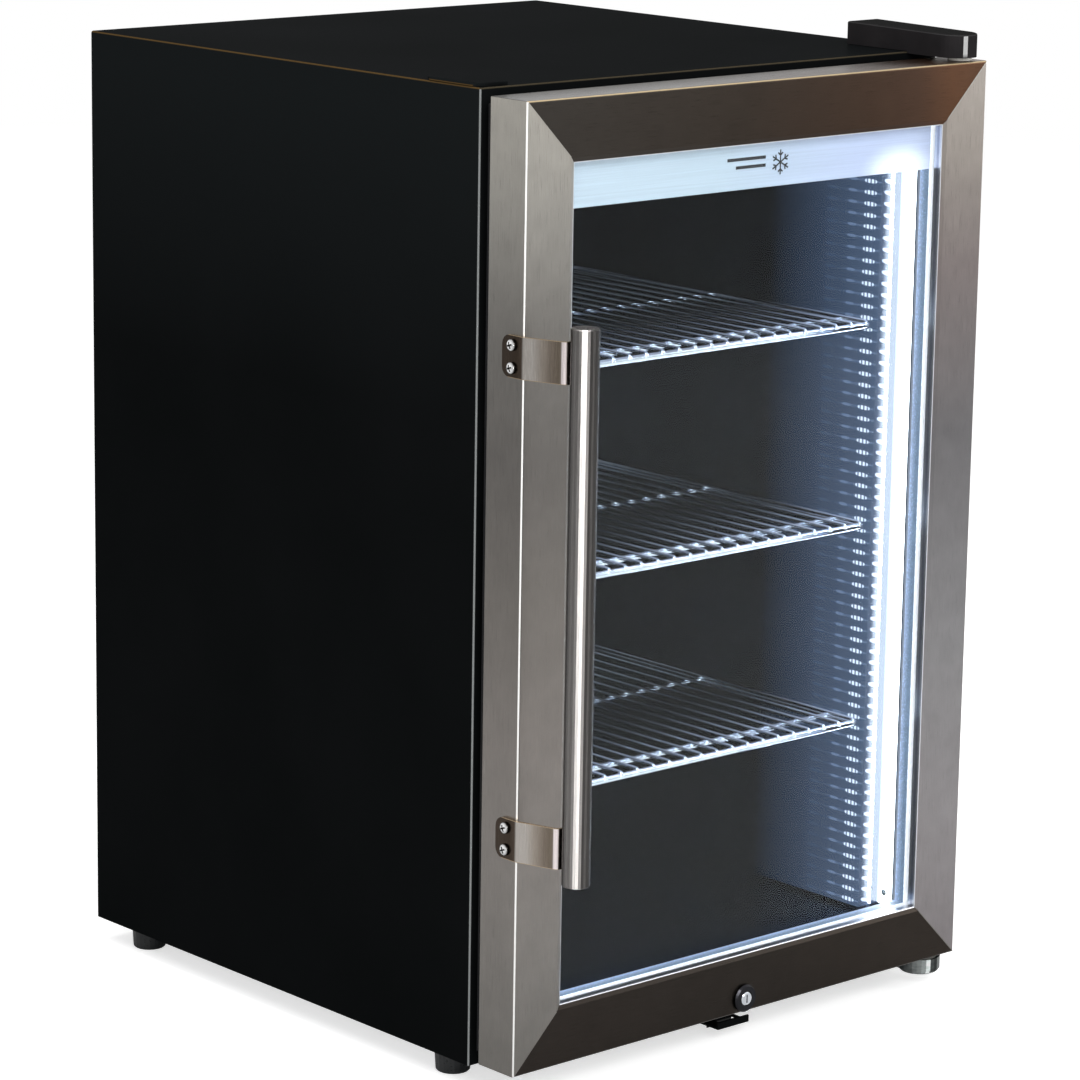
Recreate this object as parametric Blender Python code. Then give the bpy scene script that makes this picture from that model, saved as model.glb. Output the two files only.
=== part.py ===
"""Glass-door mini fridge: a steel cabinet with a mitred stainless door, built as separate pieces.

Metres, +Z up, the door faces -Y, +X is to the right when facing the door. The origin is on the
floor, at the centre of the whole fridge's footprint. Everything is worked out from the driving
sizes below. Pieces that move are parented to an empty on their joint's axis.
"""
import math

import bmesh
import bpy
from mathutils import Matrix, Vector

MM = 0.001

# ---- clearances -------------------------------------------------------------------------------
FIT = 0.3 * MM                   # gap between pieces that touch
RUN = 0.4 * MM                   # radial gap of a pin or screw in its hole

# ---- cabinet ----------------------------------------------------------------------------------
CABINET_WIDTH = 427 * MM
CABINET_DEPTH = 426 * MM
CABINET_HEIGHT = 663 * MM
FOOT_HEIGHT = 17 * MM            # floor to the underside of the cabinet
SHEET = 1.0 * MM                 # steel sheet
SHELL_BEND = 1.6 * MM            # bend radius of the shell's outer edges
FLANGE = 14.2 * MM               # front flange that the gasket closes on
REAR_STANDOFF = 25 * MM          # condenser support plates behind the cabinet

# ---- liner and insulation ---------------------------------------------------------------------
LINER_WALL = 2 * MM
SIDE_INSULATION = 38.5 * MM      # cabinet side to the inner face of the liner
TOP_INSULATION = 40 * MM
FLOOR_INSULATION = 29.5 * MM
BACK_INSULATION = 39.5 * MM
FLARE_DEPTH = 13.5 * MM          # wider mouth of the liner, where the light bars are
FLARE_INSET = 16.5 * MM          # cabinet side to the inner face of that mouth
MACHINE_HEIGHT = 133 * MM        # machine space above the base, at the lower rear
MACHINE_DEPTH = 131.5 * MM
HUMP_INSULATION = 30 * MM
LEDGE_WIDTH = 6 * MM
LEDGE_HEIGHT = 4 * MM

# ---- door -------------------------------------------------------------------------------------
DOOR_OVERHANG = 1.5 * MM         # how far each side of the door passes the cabinet's side
DOOR_RAISE = 5 * MM              # door's lower edge above the cabinet's
DOOR_DROP = 4 * MM               # door's upper edge below the cabinet's
DOOR_THICKNESS = 35.5 * MM
DOOR_GAP = 12 * MM               # door back to cabinet front, filled by the gasket
FACE_WIDTH = 39 * MM             # flat face of the frame
BEVEL_WIDTH = 3.5 * MM
BEVEL_DEPTH = 1.5 * MM
GLASS_SETBACK = 8 * MM           # face to the outer pane
FRAME_BEND = 1.5 * MM
PANE = 3.2 * MM
PANE_INSET = 24 * MM             # door edge to the panes' edge
PANE_SPACE = 9 * MM
SPACER_INSET = 36.5 * MM
SPACER_WIDTH = 6.8 * MM
INNER_FRAME_INSET = 30 * MM
INNER_FRAME_BACK_INSET = 19 * MM
INNER_FRAME_EDGE = 3 * MM
GASKET_INSET = 6 * MM
GASKET_WIDTH = 12.5 * MM
GASKET_CHAMFER = 6 * MM
HEADER_HEIGHT = 31.5 * MM
HEADER_THICKNESS = 1.2 * MM

# ---- door hinge -------------------------------------------------------------------------------
HINGE_INSET_X = 14.5 * MM        # door's right edge to the hinge axis
HINGE_INSET_Y = 13 * MM          # door's face to the hinge axis
HINGE_PIN_RADIUS = 4 * MM
HINGE_PIN_DEPTH = 11 * MM        # how far each pin reaches into the door
HINGE_PIN_COLLAR = 6.5 * MM
HINGE_PIN_HEAD = 2 * MM
WASHER_RADIUS = 8.5 * MM
WASHER_HEIGHT = 2.1 * MM
LOWER_WASHER_RADIUS = 7.2 * MM
HINGE_PLATE = 2.5 * MM
COVER_WIDTH = 30 * MM
COVER_LENGTH = 106 * MM
COVER_HEIGHT = 16.5 * MM         # above the cabinet's top
COVER_FALL = 1.5 * MM            # how much lower its top is at the front
COVER_WALL = 1.8 * MM
COVER_INSET = 2 * MM             # door's right edge to the cover
PLUG_WIDTH = 30 * MM
PLUG_LENGTH = 56 * MM
PLUG_HEIGHT = 2.2 * MM
PLUG_CORNER = 9 * MM
BRACKET_WIDTH = 31 * MM          # bottom hinge bracket
BRACKET_INSET = 4.5 * MM
BRACKET_RIM = 1.8 * MM
BRACKET_PLATE = 3 * MM
BRACKET_SKIRT = 2.2 * MM         # rim below the plate
BRACKET_TO_DOOR = 1.5 * MM       # rim's top to the door
BRACKET_TO_FOOT = 3 * MM
PIN_HEAD_RADIUS = 14.5 * MM
PIN_HEAD_HEIGHT = 2.3 * MM

# ---- handle -----------------------------------------------------------------------------------
TUBE_RADIUS = 9.5 * MM
TUBE_LENGTH = 371 * MM
TUBE_FROM_SIDE = 15.5 * MM       # door's left edge to the tube's axis
HANDLE_PLATE = 2 * MM
HANDLE_PLATE_HEIGHT = 28 * MM
HANDLE_SPACING = 323.5 * MM
HANDLE_FLANGE = 18.5 * MM        # length of the flange on the door's side
HANDLE_REACH = 31 * MM           # door's face to the middle of the plate that holds the tube
HANDLE_SHIFT = 8.5 * MM          # how far the plate leans inwards on its way out
HANDLE_CORNER = 7 * MM
SCREW_FROM_FACE = 8.6 * MM
SCREW_SPACING = 15 * MM
SCREW_RADIUS = 2 * MM
SCREW_HEAD_RADIUS = 4 * MM
SCREW_HEAD_HEIGHT = 2.5 * MM
SCREW_LENGTH = 8 * MM

# ---- lock -------------------------------------------------------------------------------------
LOCK_CLEARANCE = 1.5 * MM        # rail's lower sheet to the lock's body
LOCK_RING_RADIUS = 10 * MM
LOCK_RING_HEIGHT = 3 * MM
LOCK_RING_EDGE = 1.2 * MM
LOCK_BODY_RADIUS = 8 * MM
LOCK_BODY_LENGTH = 18 * MM
LOCK_PLUG_RADIUS = 4.9 * MM
KEYHOLE = (1.2 * MM, 2.5 * MM, 6 * MM)
CAM_REACH = 0.7 * MM             # how far the turned cam passes through the strike
CAM_SLOT_CLEARANCE = 1.7 * MM
CAM_SPACE = 2.3 * MM             # lock's body to the cam
CAM_WIDTH = 8 * MM
CAM_PLATE = 2 * MM
STRIKE_WIDTH = 30 * MM
STRIKE_PLATE = 1.5 * MM
STRIKE_DROP = 7.5 * MM
STRIKE_FRONT = 9.5 * MM          # door's face to the strike's front lip
STRIKE_LIP = 3.5 * MM
STRIKE_LENGTH = 30 * MM

# ---- feet -------------------------------------------------------------------------------------
FOOT_TOP_RADIUS = 13 * MM
FOOT_BOTTOM_RADIUS = 12 * MM
FOOT_INSET_X = 19.5 * MM         # cabinet's side to a foot's axis
FOOT_INSET_Y = 38.5 * MM
FOOT_STUD_RADIUS = 4 * MM
FOOT_STUD_LENGTH = 13 * MM

# ---- inside -----------------------------------------------------------------------------------
SHELF_COUNT = 3
SHELF_SPACING = 147 * MM
FIRST_SHELF = 147.5 * MM         # liner floor to the top of the lowest shelf
SHELF_THICKNESS = 5 * MM
SHELF_SIDE_GAP = 2.5 * MM
SHELF_SETBACK = 17.5 * MM        # cabinet front to the shelf's front rail
SHELF_BACK_GAP = 6.4 * MM        # shelf's back rail to the fan cover
SHELF_RAIL = 5 * MM
SHELF_WIRE = 3 * MM
SHELF_PITCH = 17 * MM
LIGHT_BAR_WIDTH = 11.8 * MM
LIGHT_BAR_THICKNESS = 1.8 * MM
LIGHT_BAR_CLEAR = 16 * MM        # liner mouth's floor or ceiling to the light bar's end
EVAPORATOR_THICKNESS = 2 * MM
EVAPORATOR_SIDE_GAP = 35 * MM
EVAPORATOR_DROP = 40 * MM        # ceiling to the evaporator's top
EVAPORATOR_RAISE = 69 * MM       # hump's top to the evaporator's lower edge
FAN_COVER = (220 * MM, 33 * MM, 170 * MM)
FAN_COVER_WALL = 2 * MM
FAN_COVER_DROP = 2 * MM          # evaporator's top to the fan cover's top
FAN_HOLE_RADIUS = 45 * MM
FAN_RADIUS = 41 * MM
FAN_HUB_RADIUS = 15 * MM
FAN_DEPTH = 12 * MM
FAN_BLADES = 5
FAN_MOTOR_RADIUS = 18 * MM
FAN_MOTOR_LENGTH = 12.7 * MM
FAN_BLADE_CHORD = 18 * MM
FAN_BLADE_THICKNESS = 1.6 * MM
FAN_BLADE_PITCH = 33             # degrees from the plane of the rotor
FAN_GRILLE_ROWS = 5
FAN_GRILLE_BAR = 3 * MM
CONTROL_BOX = (140 * MM, 70 * MM, 28 * MM)
CONTROL_BOX_SETBACK = 47.5 * MM  # cabinet front to the control box
KNOB_RADIUS = 11 * MM
KNOB_HEIGHT = 13 * MM
SWITCH_WIDTH = 14 * MM
SWITCH_RADIUS = 5 * MM
SWITCH_TILT = 7                  # degrees, half of its rocking
SWITCH_DEPTH = 2 * MM            # control box's front to the switch's axis
CONTROL_SPREAD = 32 * MM         # box's middle to the knob and to the switch

# ---- cooling machine --------------------------------------------------------------------------
COMPRESSOR_RADIUS = 56 * MM
COMPRESSOR_HEIGHT = 96 * MM
COMPRESSOR_X = 55 * MM           # right of the cabinet's middle
COMPRESSOR_FROM_BACK = 64 * MM
MOUNT_PLATE = (150 * MM, 96 * MM, 2.5 * MM)
MOUNT_LEG_RADIUS = 8 * MM
MOUNT_LEG_HEIGHT = 9 * MM
TERMINAL_COVER = (26 * MM, 44 * MM, 46 * MM)
TRAY = (96 * MM, 84 * MM, 15 * MM)
TRAY_WALL = 1.5 * MM
COIL_TUBE_RADIUS = 2.5 * MM
COIL_RUNS = 9
COIL_SIDE_INSET = 48.5 * MM      # cabinet's side to the ends of the straight runs
COIL_TOP_INSET = 71 * MM         # cabinet's top to the highest run
COIL_RAISE = 75 * MM             # machine space's top to the lowest run
COIL_FROM_BACK = 13 * MM         # cabinet's back to the coil's middle
COIL_PLATE = 1.5 * MM
COIL_PLATE_X = 120 * MM
COIL_STUB_X = 10 * MM            # compressor's axis to the pipe that leaves it
COIL_RISER_OUT = 18 * MM         # ends of the runs to the rising pipe
SUCTION_OUT = 18 * MM            # compressor's side to the suction pipe
SUCTION_RADIUS = 3 * MM
DRIER_RADIUS = 8 * MM
DRIER_DROP = 30 * MM             # lowest run to the drier's top
DRIER_OUT = 12 * MM
DRIER_LENGTH = 60 * MM
GLAND_RADIUS = 9 * MM
GLAND_LENGTH = 10 * MM
GLAND_INSET = 60 * MM            # cabinet's side to the gland
GLAND_RAISE = 22 * MM            # machine space's top to the gland

# ---- places worked out from the sizes ---------------------------------------------------------
DOOR_WIDTH = CABINET_WIDTH + 2 * DOOR_OVERHANG
DOOR_HEIGHT = CABINET_HEIGHT - DOOR_RAISE - DOOR_DROP
HANDLE_OUT = FIT + HANDLE_PLATE + FIT + SCREW_HEAD_HEIGHT
TUBE_OUT = HANDLE_REACH + HANDLE_PLATE / 2 + FIT + 2 * TUBE_RADIUS
TOTAL_BACK = DOOR_THICKNESS + DOOR_GAP + CABINET_DEPTH + REAR_STANDOFF

MID_X = HANDLE_OUT / 2
FACE_Y = (TUBE_OUT - TOTAL_BACK) / 2
CAB_LEFT = MID_X - CABINET_WIDTH / 2
CAB_RIGHT = MID_X + CABINET_WIDTH / 2
CAB_FRONT = FACE_Y + DOOR_THICKNESS + DOOR_GAP
CAB_BACK = CAB_FRONT + CABINET_DEPTH
CAB_BOTTOM = FOOT_HEIGHT
CAB_TOP = CAB_BOTTOM + CABINET_HEIGHT
DOOR_LEFT = MID_X - DOOR_WIDTH / 2
DOOR_RIGHT = MID_X + DOOR_WIDTH / 2
DOOR_BOTTOM = CAB_BOTTOM + DOOR_RAISE
DOOR_TOP = DOOR_BOTTOM + DOOR_HEIGHT
DOOR_BACK = FACE_Y + DOOR_THICKNESS
OPENING_INSET = FACE_WIDTH + BEVEL_WIDTH

LINER_HALF = CABINET_WIDTH / 2 - SIDE_INSULATION
LINER_FLOOR = CAB_BOTTOM + FLOOR_INSULATION
LINER_CEILING = CAB_TOP - TOP_INSULATION
LINER_BACK = CAB_BACK - BACK_INSULATION
FLARE_HALF = CABINET_WIDTH / 2 - FLARE_INSET
FLARE_FLOOR = CAB_BOTTOM + FLARE_INSET
FLARE_CEILING = CAB_TOP - FLARE_INSET
FLARE_BACK = CAB_FRONT + FLARE_DEPTH
MACHINE_TOP = CAB_BOTTOM + MACHINE_HEIGHT
MACHINE_FRONT = CAB_BACK - MACHINE_DEPTH
HUMP_TOP = MACHINE_TOP + SHEET + HUMP_INSULATION
HUMP_FRONT = MACHINE_FRONT - SHEET - HUMP_INSULATION

SHELF_FRONT = CAB_FRONT + SHELF_SETBACK
SHELF_BACK = LINER_BACK - 2 * FIT - EVAPORATOR_THICKNESS - FAN_COVER[1] - SHELF_BACK_GAP
EVAPORATOR_TOP = LINER_CEILING - EVAPORATOR_DROP
EVAPORATOR_FRONT = LINER_BACK - FIT - EVAPORATOR_THICKNESS
COIL_Y = CAB_BACK + COIL_FROM_BACK
COIL_BOTTOM = MACHINE_TOP + COIL_RAISE
COIL_HALF_WIDTH = CABINET_WIDTH / 2 - COIL_SIDE_INSET
COIL_PITCH = (CAB_TOP - COIL_TOP_INSET - COIL_BOTTOM) / (COIL_RUNS - 1)

HINGE_X = DOOR_RIGHT - HINGE_INSET_X
HINGE_Y = FACE_Y + HINGE_INSET_Y
LOCK_X = MID_X
LOCK_Z = DOOR_BOTTOM + SHEET + LOCK_CLEARANCE + LOCK_BODY_RADIUS
CAM_FRONT = FACE_Y + LOCK_BODY_LENGTH + CAM_SPACE
STRIKE_TOP = CAB_BOTTOM - FIT
CAM_LENGTH = LOCK_Z - STRIKE_TOP + STRIKE_DROP + CAM_REACH
DOOR_MIDDLE_Z = DOOR_BOTTOM + DOOR_HEIGHT / 2
TUBE_X = DOOR_LEFT + TUBE_FROM_SIDE
TUBE_Y = FACE_Y - HANDLE_REACH - HANDLE_PLATE / 2 - FIT - TUBE_RADIUS

CUT = 5 * MM                     # how far a cutter runs past what it cuts


# ---- modelling helpers ------------------------------------------------------------------------
def clear_scene():
    for old in list(bpy.data.objects):
        bpy.data.objects.remove(old, do_unlink=True)


def finish(name, colour, roughness, metallic):
    """A material: one Principled shader."""
    made = bpy.data.materials.new(name)
    made.use_nodes = True
    shader = made.node_tree.nodes["Principled BSDF"]
    shader.inputs["Base Color"].default_value = (*colour, 1.0)
    shader.inputs["Roughness"].default_value = roughness
    shader.inputs["Metallic"].default_value = metallic
    return made


def joint_empty(name, place):
    empty = bpy.data.objects.new(name, None)
    empty.location = place
    bpy.context.scene.collection.objects.link(empty)
    return empty


def solid(name, bm, material=None, origin=(0, 0, 0), parent=None, smooth_deg=None):
    """Turn a bmesh in world coordinates into an object whose origin is at the given point."""
    bmesh.ops.recalc_face_normals(bm, faces=bm.faces)
    mesh = bpy.data.meshes.new(name)
    bm.to_mesh(mesh)
    bm.free()
    mesh.transform(Matrix.Translation(-Vector(origin)))
    made = bpy.data.objects.new(name, mesh)
    bpy.context.scene.collection.objects.link(made)
    made.location = origin
    if parent is not None:
        made.parent = parent
        made.location = Vector(origin) - parent.location
    if material is not None:
        mesh.materials.append(material)
    if smooth_deg is not None:
        mesh.shade_smooth()
        mesh.set_sharp_from_angle(angle=math.radians(smooth_deg))
    return made


def box(low, high):
    bm = bmesh.new()
    size = Vector(high) - Vector(low)
    middle = (Vector(high) + Vector(low)) / 2
    matrix = Matrix.Translation(middle) @ Matrix.Diagonal((*size, 1.0))
    bmesh.ops.create_cube(bm, size=1.0, matrix=matrix)
    return bm


def prism(points, axis, low, high):
    """Extrude an outline along an axis. The outline's two numbers are the other axes, in order."""
    bm = bmesh.new()
    verts = []
    for first, second in points:
        place = {"x": (low, first, second), "y": (first, low, second), "z": (first, second, low)}[axis]
        verts.append(bm.verts.new(place))
    face = bm.faces.new(verts)
    grown = bmesh.ops.extrude_face_region(bm, geom=[face])
    top = [item for item in grown["geom"] if isinstance(item, bmesh.types.BMVert)]
    step = {"x": (high - low, 0, 0), "y": (0, high - low, 0), "z": (0, 0, high - low)}[axis]
    bmesh.ops.translate(bm, verts=top, vec=step)
    return bm


def lathe(profile, axis, centre, segments=24):
    """Spin (radius, height) points about an axis through the centre; heights are along the axis."""
    bm = bmesh.new()
    centre = Vector(centre)
    along = {"x": Vector((1, 0, 0)), "y": Vector((0, 1, 0)), "z": Vector((0, 0, 1))}[axis]
    across = {"x": Vector((0, 1, 0)), "y": Vector((1, 0, 0)), "z": Vector((1, 0, 0))}[axis]
    verts = [bm.verts.new(centre + across * radius + along * height) for radius, height in profile]
    edges = [bm.edges.new(pair) for pair in zip(verts, verts[1:])]
    if profile[0][0] > 0 and profile[-1][0] > 0:
        edges.append(bm.edges.new((verts[-1], verts[0])))
    bmesh.ops.spin(bm, geom=verts + edges, cent=centre, axis=along, angle=math.tau,
                   steps=segments, use_merge=True)
    bmesh.ops.remove_doubles(bm, verts=bm.verts, dist=0.01 * MM)
    return bm


def rod(axis, centre, radius, low, high, segments=16):
    return lathe([(0, low), (radius, low), (radius, high), (0, high)], axis, centre, segments)


def rounded_rectangle(low, high, radius, steps=5):
    """Corner-rounded outline, anticlockwise."""
    points = []
    corners = [(high[0] - radius, high[1] - radius, 0), (low[0] + radius, high[1] - radius, 90),
               (low[0] + radius, low[1] + radius, 180), (high[0] - radius, low[1] + radius, 270)]
    for x, y, start in corners:
        for step in range(steps + 1):
            angle = math.radians(start + 90 * step / steps)
            points.append((x + radius * math.cos(angle), y + radius * math.sin(angle)))
    return points


def round_front(low_x, high_x, back_y, front_y, steps=14):
    """Outline of a strip along Y with a half-round front end, anticlockwise."""
    radius = (high_x - low_x) / 2
    middle = (low_x + high_x) / 2
    points = [(high_x, back_y), (low_x, back_y)]
    for step in range(steps + 1):
        angle = math.radians(180 + 180 * step / steps)
        points.append((middle + radius * math.cos(angle), front_y + radius + radius * math.sin(angle)))
    return points


def door_ring(profile):
    """A mitred ring that follows the door's outline: profile points are (inset, y)."""
    bm = bmesh.new()
    loops = []
    for inset, y in profile:
        corners = [(DOOR_LEFT + inset, DOOR_BOTTOM + inset), (DOOR_RIGHT - inset, DOOR_BOTTOM + inset),
                   (DOOR_RIGHT - inset, DOOR_TOP - inset), (DOOR_LEFT + inset, DOOR_TOP - inset)]
        loops.append([bm.verts.new((x, y, z)) for x, z in corners])
    for loop, following in zip(loops, loops[1:] + loops[:1]):
        for side in range(4):
            after = (side + 1) % 4
            bm.faces.new((loop[side], loop[after], following[after], following[side]))
    return bm


def door_member(profile, side):
    """One mitred side of the door's frame: profile points are (inset, y)."""
    bm = bmesh.new()
    ends = [[], []]
    for inset, y in profile:
        cut = inset + FIT / 2
        places = {"bottom": ((DOOR_LEFT + cut, DOOR_BOTTOM + inset), (DOOR_RIGHT - cut, DOOR_BOTTOM + inset)),
                  "top": ((DOOR_LEFT + cut, DOOR_TOP - inset), (DOOR_RIGHT - cut, DOOR_TOP - inset)),
                  "left": ((DOOR_LEFT + inset, DOOR_BOTTOM + cut), (DOOR_LEFT + inset, DOOR_TOP - cut)),
                  "right": ((DOOR_RIGHT - inset, DOOR_BOTTOM + cut), (DOOR_RIGHT - inset, DOOR_TOP - cut))}
        for end, (x, z) in zip(ends, places[side]):
            end.append(bm.verts.new((x, y, z)))
    first, second = ends
    bm.faces.new(first)
    bm.faces.new(second)
    count = len(profile)
    for index in range(count):
        after = (index + 1) % count
        bm.faces.new((first[index], first[after], second[after], second[index]))
    return bm


def combine(target, cutter_bm, operation):
    """Apply a Boolean with a throw-away solid."""
    cutter = solid("cutter", cutter_bm)
    modifier = target.modifiers.new("boolean", "BOOLEAN")
    modifier.operation = operation
    modifier.solver = "EXACT"
    modifier.object = cutter
    graph = bpy.context.evaluated_depsgraph_get()
    made = bpy.data.meshes.new_from_object(target.evaluated_get(graph))
    target.modifiers.clear()
    old = target.data
    made.name = target.name
    target.data = made
    bpy.data.meshes.remove(old)
    bpy.data.objects.remove(cutter, do_unlink=True)


def cut(target, cutter_bm):
    combine(target, cutter_bm, "DIFFERENCE")


def join(target, added_bm):
    combine(target, added_bm, "UNION")


def merged(pieces):
    """Several bmeshes that don't meet, as one bmesh, for one cut."""
    bm = bmesh.new()
    for piece in pieces:
        mesh = bpy.data.meshes.new("piece")
        piece.to_mesh(mesh)
        piece.free()
        bm.from_mesh(mesh)
        bpy.data.meshes.remove(mesh)
    return bm


def soften(target, width, segments=2, pick=None):
    """Round the edges that pick accepts, or all of them."""
    bm = bmesh.new()
    bm.from_mesh(target.data)
    edges = [edge for edge in bm.edges if edge.calc_face_angle(0) > math.radians(40)]
    if pick is not None:
        edges = [edge for edge in edges if pick(edge.verts[0].co, edge.verts[1].co)]
    bmesh.ops.bevel(bm, geom=edges, offset=width, segments=segments, profile=0.5,
                    affect="EDGES", material=-1)
    bm.to_mesh(target.data)
    bm.free()


def pipe(name, points, radius, material, parent=None):
    """A round pipe along a poly line, with closed ends."""
    curve = bpy.data.curves.new(name, "CURVE")
    curve.dimensions = "3D"
    curve.bevel_depth = radius
    curve.bevel_resolution = 1
    curve.use_fill_caps = True
    spline = curve.splines.new("POLY")
    spline.points.add(len(points) - 1)
    for point, place in zip(spline.points, points):
        point.co = (*place, 1.0)
    curve.materials.append(material)
    made = bpy.data.objects.new(name, curve)
    bpy.context.scene.collection.objects.link(made)
    if parent is not None:
        made.parent = parent
    return made


def bent_route(points, radius, steps=4):
    """Round each corner of a route with an arc of the given radius."""
    points = [Vector(point) for point in points]
    route = [points[0]]
    for before, corner, after in zip(points, points[1:], points[2:]):
        back = (before - corner).normalized()
        on = (after - corner).normalized()
        half = back.angle(on) / 2
        reach = min(radius / math.tan(half), (before - corner).length / 2, (after - corner).length / 2)
        start = corner + back * reach
        end = corner + on * reach
        for step in range(steps + 1):
            share = step / steps
            first = start.lerp(corner, share)
            second = corner.lerp(end, share)
            route.append(first.lerp(second, share))
    route.append(points[-1])
    return route


# ---- cabinet ----------------------------------------------------------------------------------
def make_outer_shell(material):
    """Top and two sides folded from one sheet, with a flange turned in at the front."""
    shell = solid("outer_shell", box((CAB_LEFT, CAB_FRONT, CAB_BOTTOM), (CAB_RIGHT, CAB_BACK, CAB_TOP)),
                  material)

    def outer_edge(first, second):
        at_top = min(first.z, second.z) > CAB_TOP - MM
        at_front = max(first.y, second.y) < CAB_FRONT + MM
        upright = abs(first.z - second.z) > CABINET_HEIGHT / 2
        lengthwise = abs(first.y - second.y) > CABINET_DEPTH / 2
        return (at_top and (lengthwise or at_front)) or (at_front and upright)

    soften(shell, SHELL_BEND, 3, outer_edge)
    cut(shell, box((CAB_LEFT + SHEET, CAB_FRONT + SHEET, CAB_BOTTOM - CUT),
                   (CAB_RIGHT - SHEET, CAB_BACK + CUT, CAB_TOP - SHEET)))
    cut(shell, box((CAB_LEFT + FLANGE, CAB_FRONT - CUT, CAB_BOTTOM - CUT),
                   (CAB_RIGHT - FLANGE, CAB_FRONT + 2 * SHEET, CAB_TOP - FLANGE)))
    return shell


def make_base_pan(material):
    """Floor sheet with a front flange; the levelling feet screw through it."""
    side = SHEET + FIT
    pan = solid("base_pan", box((CAB_LEFT + side, CAB_FRONT + side, CAB_BOTTOM),
                                (CAB_RIGHT - side, CAB_BACK - FIT, CAB_BOTTOM + SHEET)), material)
    flange_left = CAB_LEFT + FLANGE + FIT
    flange_right = CAB_RIGHT - FLANGE - FIT
    flange_top = FLARE_FLOOR - LINER_WALL - FIT
    join(pan, prism([(CAB_FRONT, CAB_BOTTOM), (CAB_FRONT + 3 * side, CAB_BOTTOM),
                     (CAB_FRONT + 3 * side, CAB_BOTTOM + SHEET), (CAB_FRONT + SHEET, CAB_BOTTOM + SHEET),
                     (CAB_FRONT + SHEET, flange_top), (CAB_FRONT, flange_top)],
                    "x", flange_left, flange_right))
    holes = [rod("z", (x, CAB_FRONT + FOOT_INSET_Y, CAB_BOTTOM), FOOT_STUD_RADIUS + RUN, -CUT, CUT)
             for x in (CAB_LEFT + FOOT_INSET_X, CAB_RIGHT - FOOT_INSET_X)]
    cut(pan, merged(holes))
    return pan


def make_rear_panel(material):
    """Back sheet, bent forward and down round the machine space."""
    outline = [(CAB_BACK, CAB_TOP - SHEET - FIT), (CAB_BACK - SHEET, CAB_TOP - SHEET - FIT),
               (CAB_BACK - SHEET, MACHINE_TOP + SHEET), (MACHINE_FRONT - SHEET, MACHINE_TOP + SHEET),
               (MACHINE_FRONT - SHEET, CAB_BOTTOM + SHEET + FIT), (MACHINE_FRONT, CAB_BOTTOM + SHEET + FIT),
               (MACHINE_FRONT, MACHINE_TOP), (CAB_BACK, MACHINE_TOP)]
    side = SHEET + FIT
    return solid("rear_panel", prism(outline, "x", CAB_LEFT + side, CAB_RIGHT - side), material)


def make_inner_liner(material):
    """Moulded food liner: a wide mouth, a straight cavity, a hump over the machine, shelf ledges."""
    wall = LINER_WALL

    def cavity(grow, front, sill, hump_front, hump_top):
        tall = [(front, sill), (hump_front, sill), (hump_front, hump_top), (LINER_BACK + grow, hump_top),
                (LINER_BACK + grow, LINER_CEILING + grow), (front, LINER_CEILING + grow)]
        return prism(tall, "x", MID_X - LINER_HALF - grow, MID_X + LINER_HALF + grow)

    liner = solid("inner_liner", cavity(wall, CAB_FRONT + wall, LINER_FLOOR - wall, HUMP_FRONT + wall,
                                        HUMP_TOP - wall), material)
    join(liner, box((MID_X - FLARE_HALF - wall, CAB_FRONT, FLARE_FLOOR - wall),
                    (MID_X + FLARE_HALF + wall, FLARE_BACK + wall, FLARE_CEILING + wall)))
    cut(liner, box((MID_X - FLARE_HALF, CAB_FRONT - CUT, FLARE_FLOOR),
                   (MID_X + FLARE_HALF, FLARE_BACK, FLARE_CEILING)))
    cut(liner, cavity(0, FLARE_BACK - wall, LINER_FLOOR, HUMP_FRONT, HUMP_TOP))
    start = FLARE_BACK + 2 * LEDGE_WIDTH
    for index in range(SHELF_COUNT):
        top = shelf_top(index) - SHELF_THICKNESS - FIT
        for side in (-1, 1):
            inner = MID_X + side * (LINER_HALF - LEDGE_WIDTH)
            outer = MID_X + side * (LINER_HALF + wall / 2)
            join(liner, box((min(inner, outer), start, top - LEDGE_HEIGHT),
                            (max(inner, outer), SHELF_BACK, top)))
    return liner


def make_foam(material):
    """Insulation that fills the space between the shell and the liner."""
    skin = SHEET + FIT
    clear = LINER_WALL + FIT
    foam = solid("insulation_foam", box((CAB_LEFT + skin, CAB_FRONT + skin, CAB_BOTTOM + skin),
                                        (CAB_RIGHT - skin, CAB_BACK - skin, CAB_TOP - skin)), material)
    half = LINER_HALF + clear
    outline = [(CAB_FRONT - CUT, LINER_FLOOR - clear), (HUMP_FRONT + clear, LINER_FLOOR - clear),
               (HUMP_FRONT + clear, HUMP_TOP - clear), (LINER_BACK + clear, HUMP_TOP - clear),
               (LINER_BACK + clear, LINER_CEILING + clear), (CAB_FRONT - CUT, LINER_CEILING + clear)]
    cut(foam, prism(outline, "x", MID_X - half, MID_X + half))
    mouth = FLARE_HALF + clear
    cut(foam, box((MID_X - mouth, CAB_FRONT - CUT, FLARE_FLOOR - clear),
                  (MID_X + mouth, FLARE_BACK + clear, FLARE_CEILING + clear)))
    cut(foam, box((CAB_LEFT - CUT, MACHINE_FRONT - skin, CAB_BOTTOM - CUT),
                  (CAB_RIGHT + CUT, CAB_BACK + CUT, MACHINE_TOP + skin)))
    pockets = [rod("z", (x, CAB_FRONT + FOOT_INSET_Y, CAB_BOTTOM), FOOT_STUD_RADIUS + 2 * RUN,
                   -CUT, FOOT_STUD_LENGTH + MM)
               for x in (CAB_LEFT + FOOT_INSET_X, CAB_RIGHT - FOOT_INSET_X)]
    cut(foam, merged(pockets))
    return foam


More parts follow.
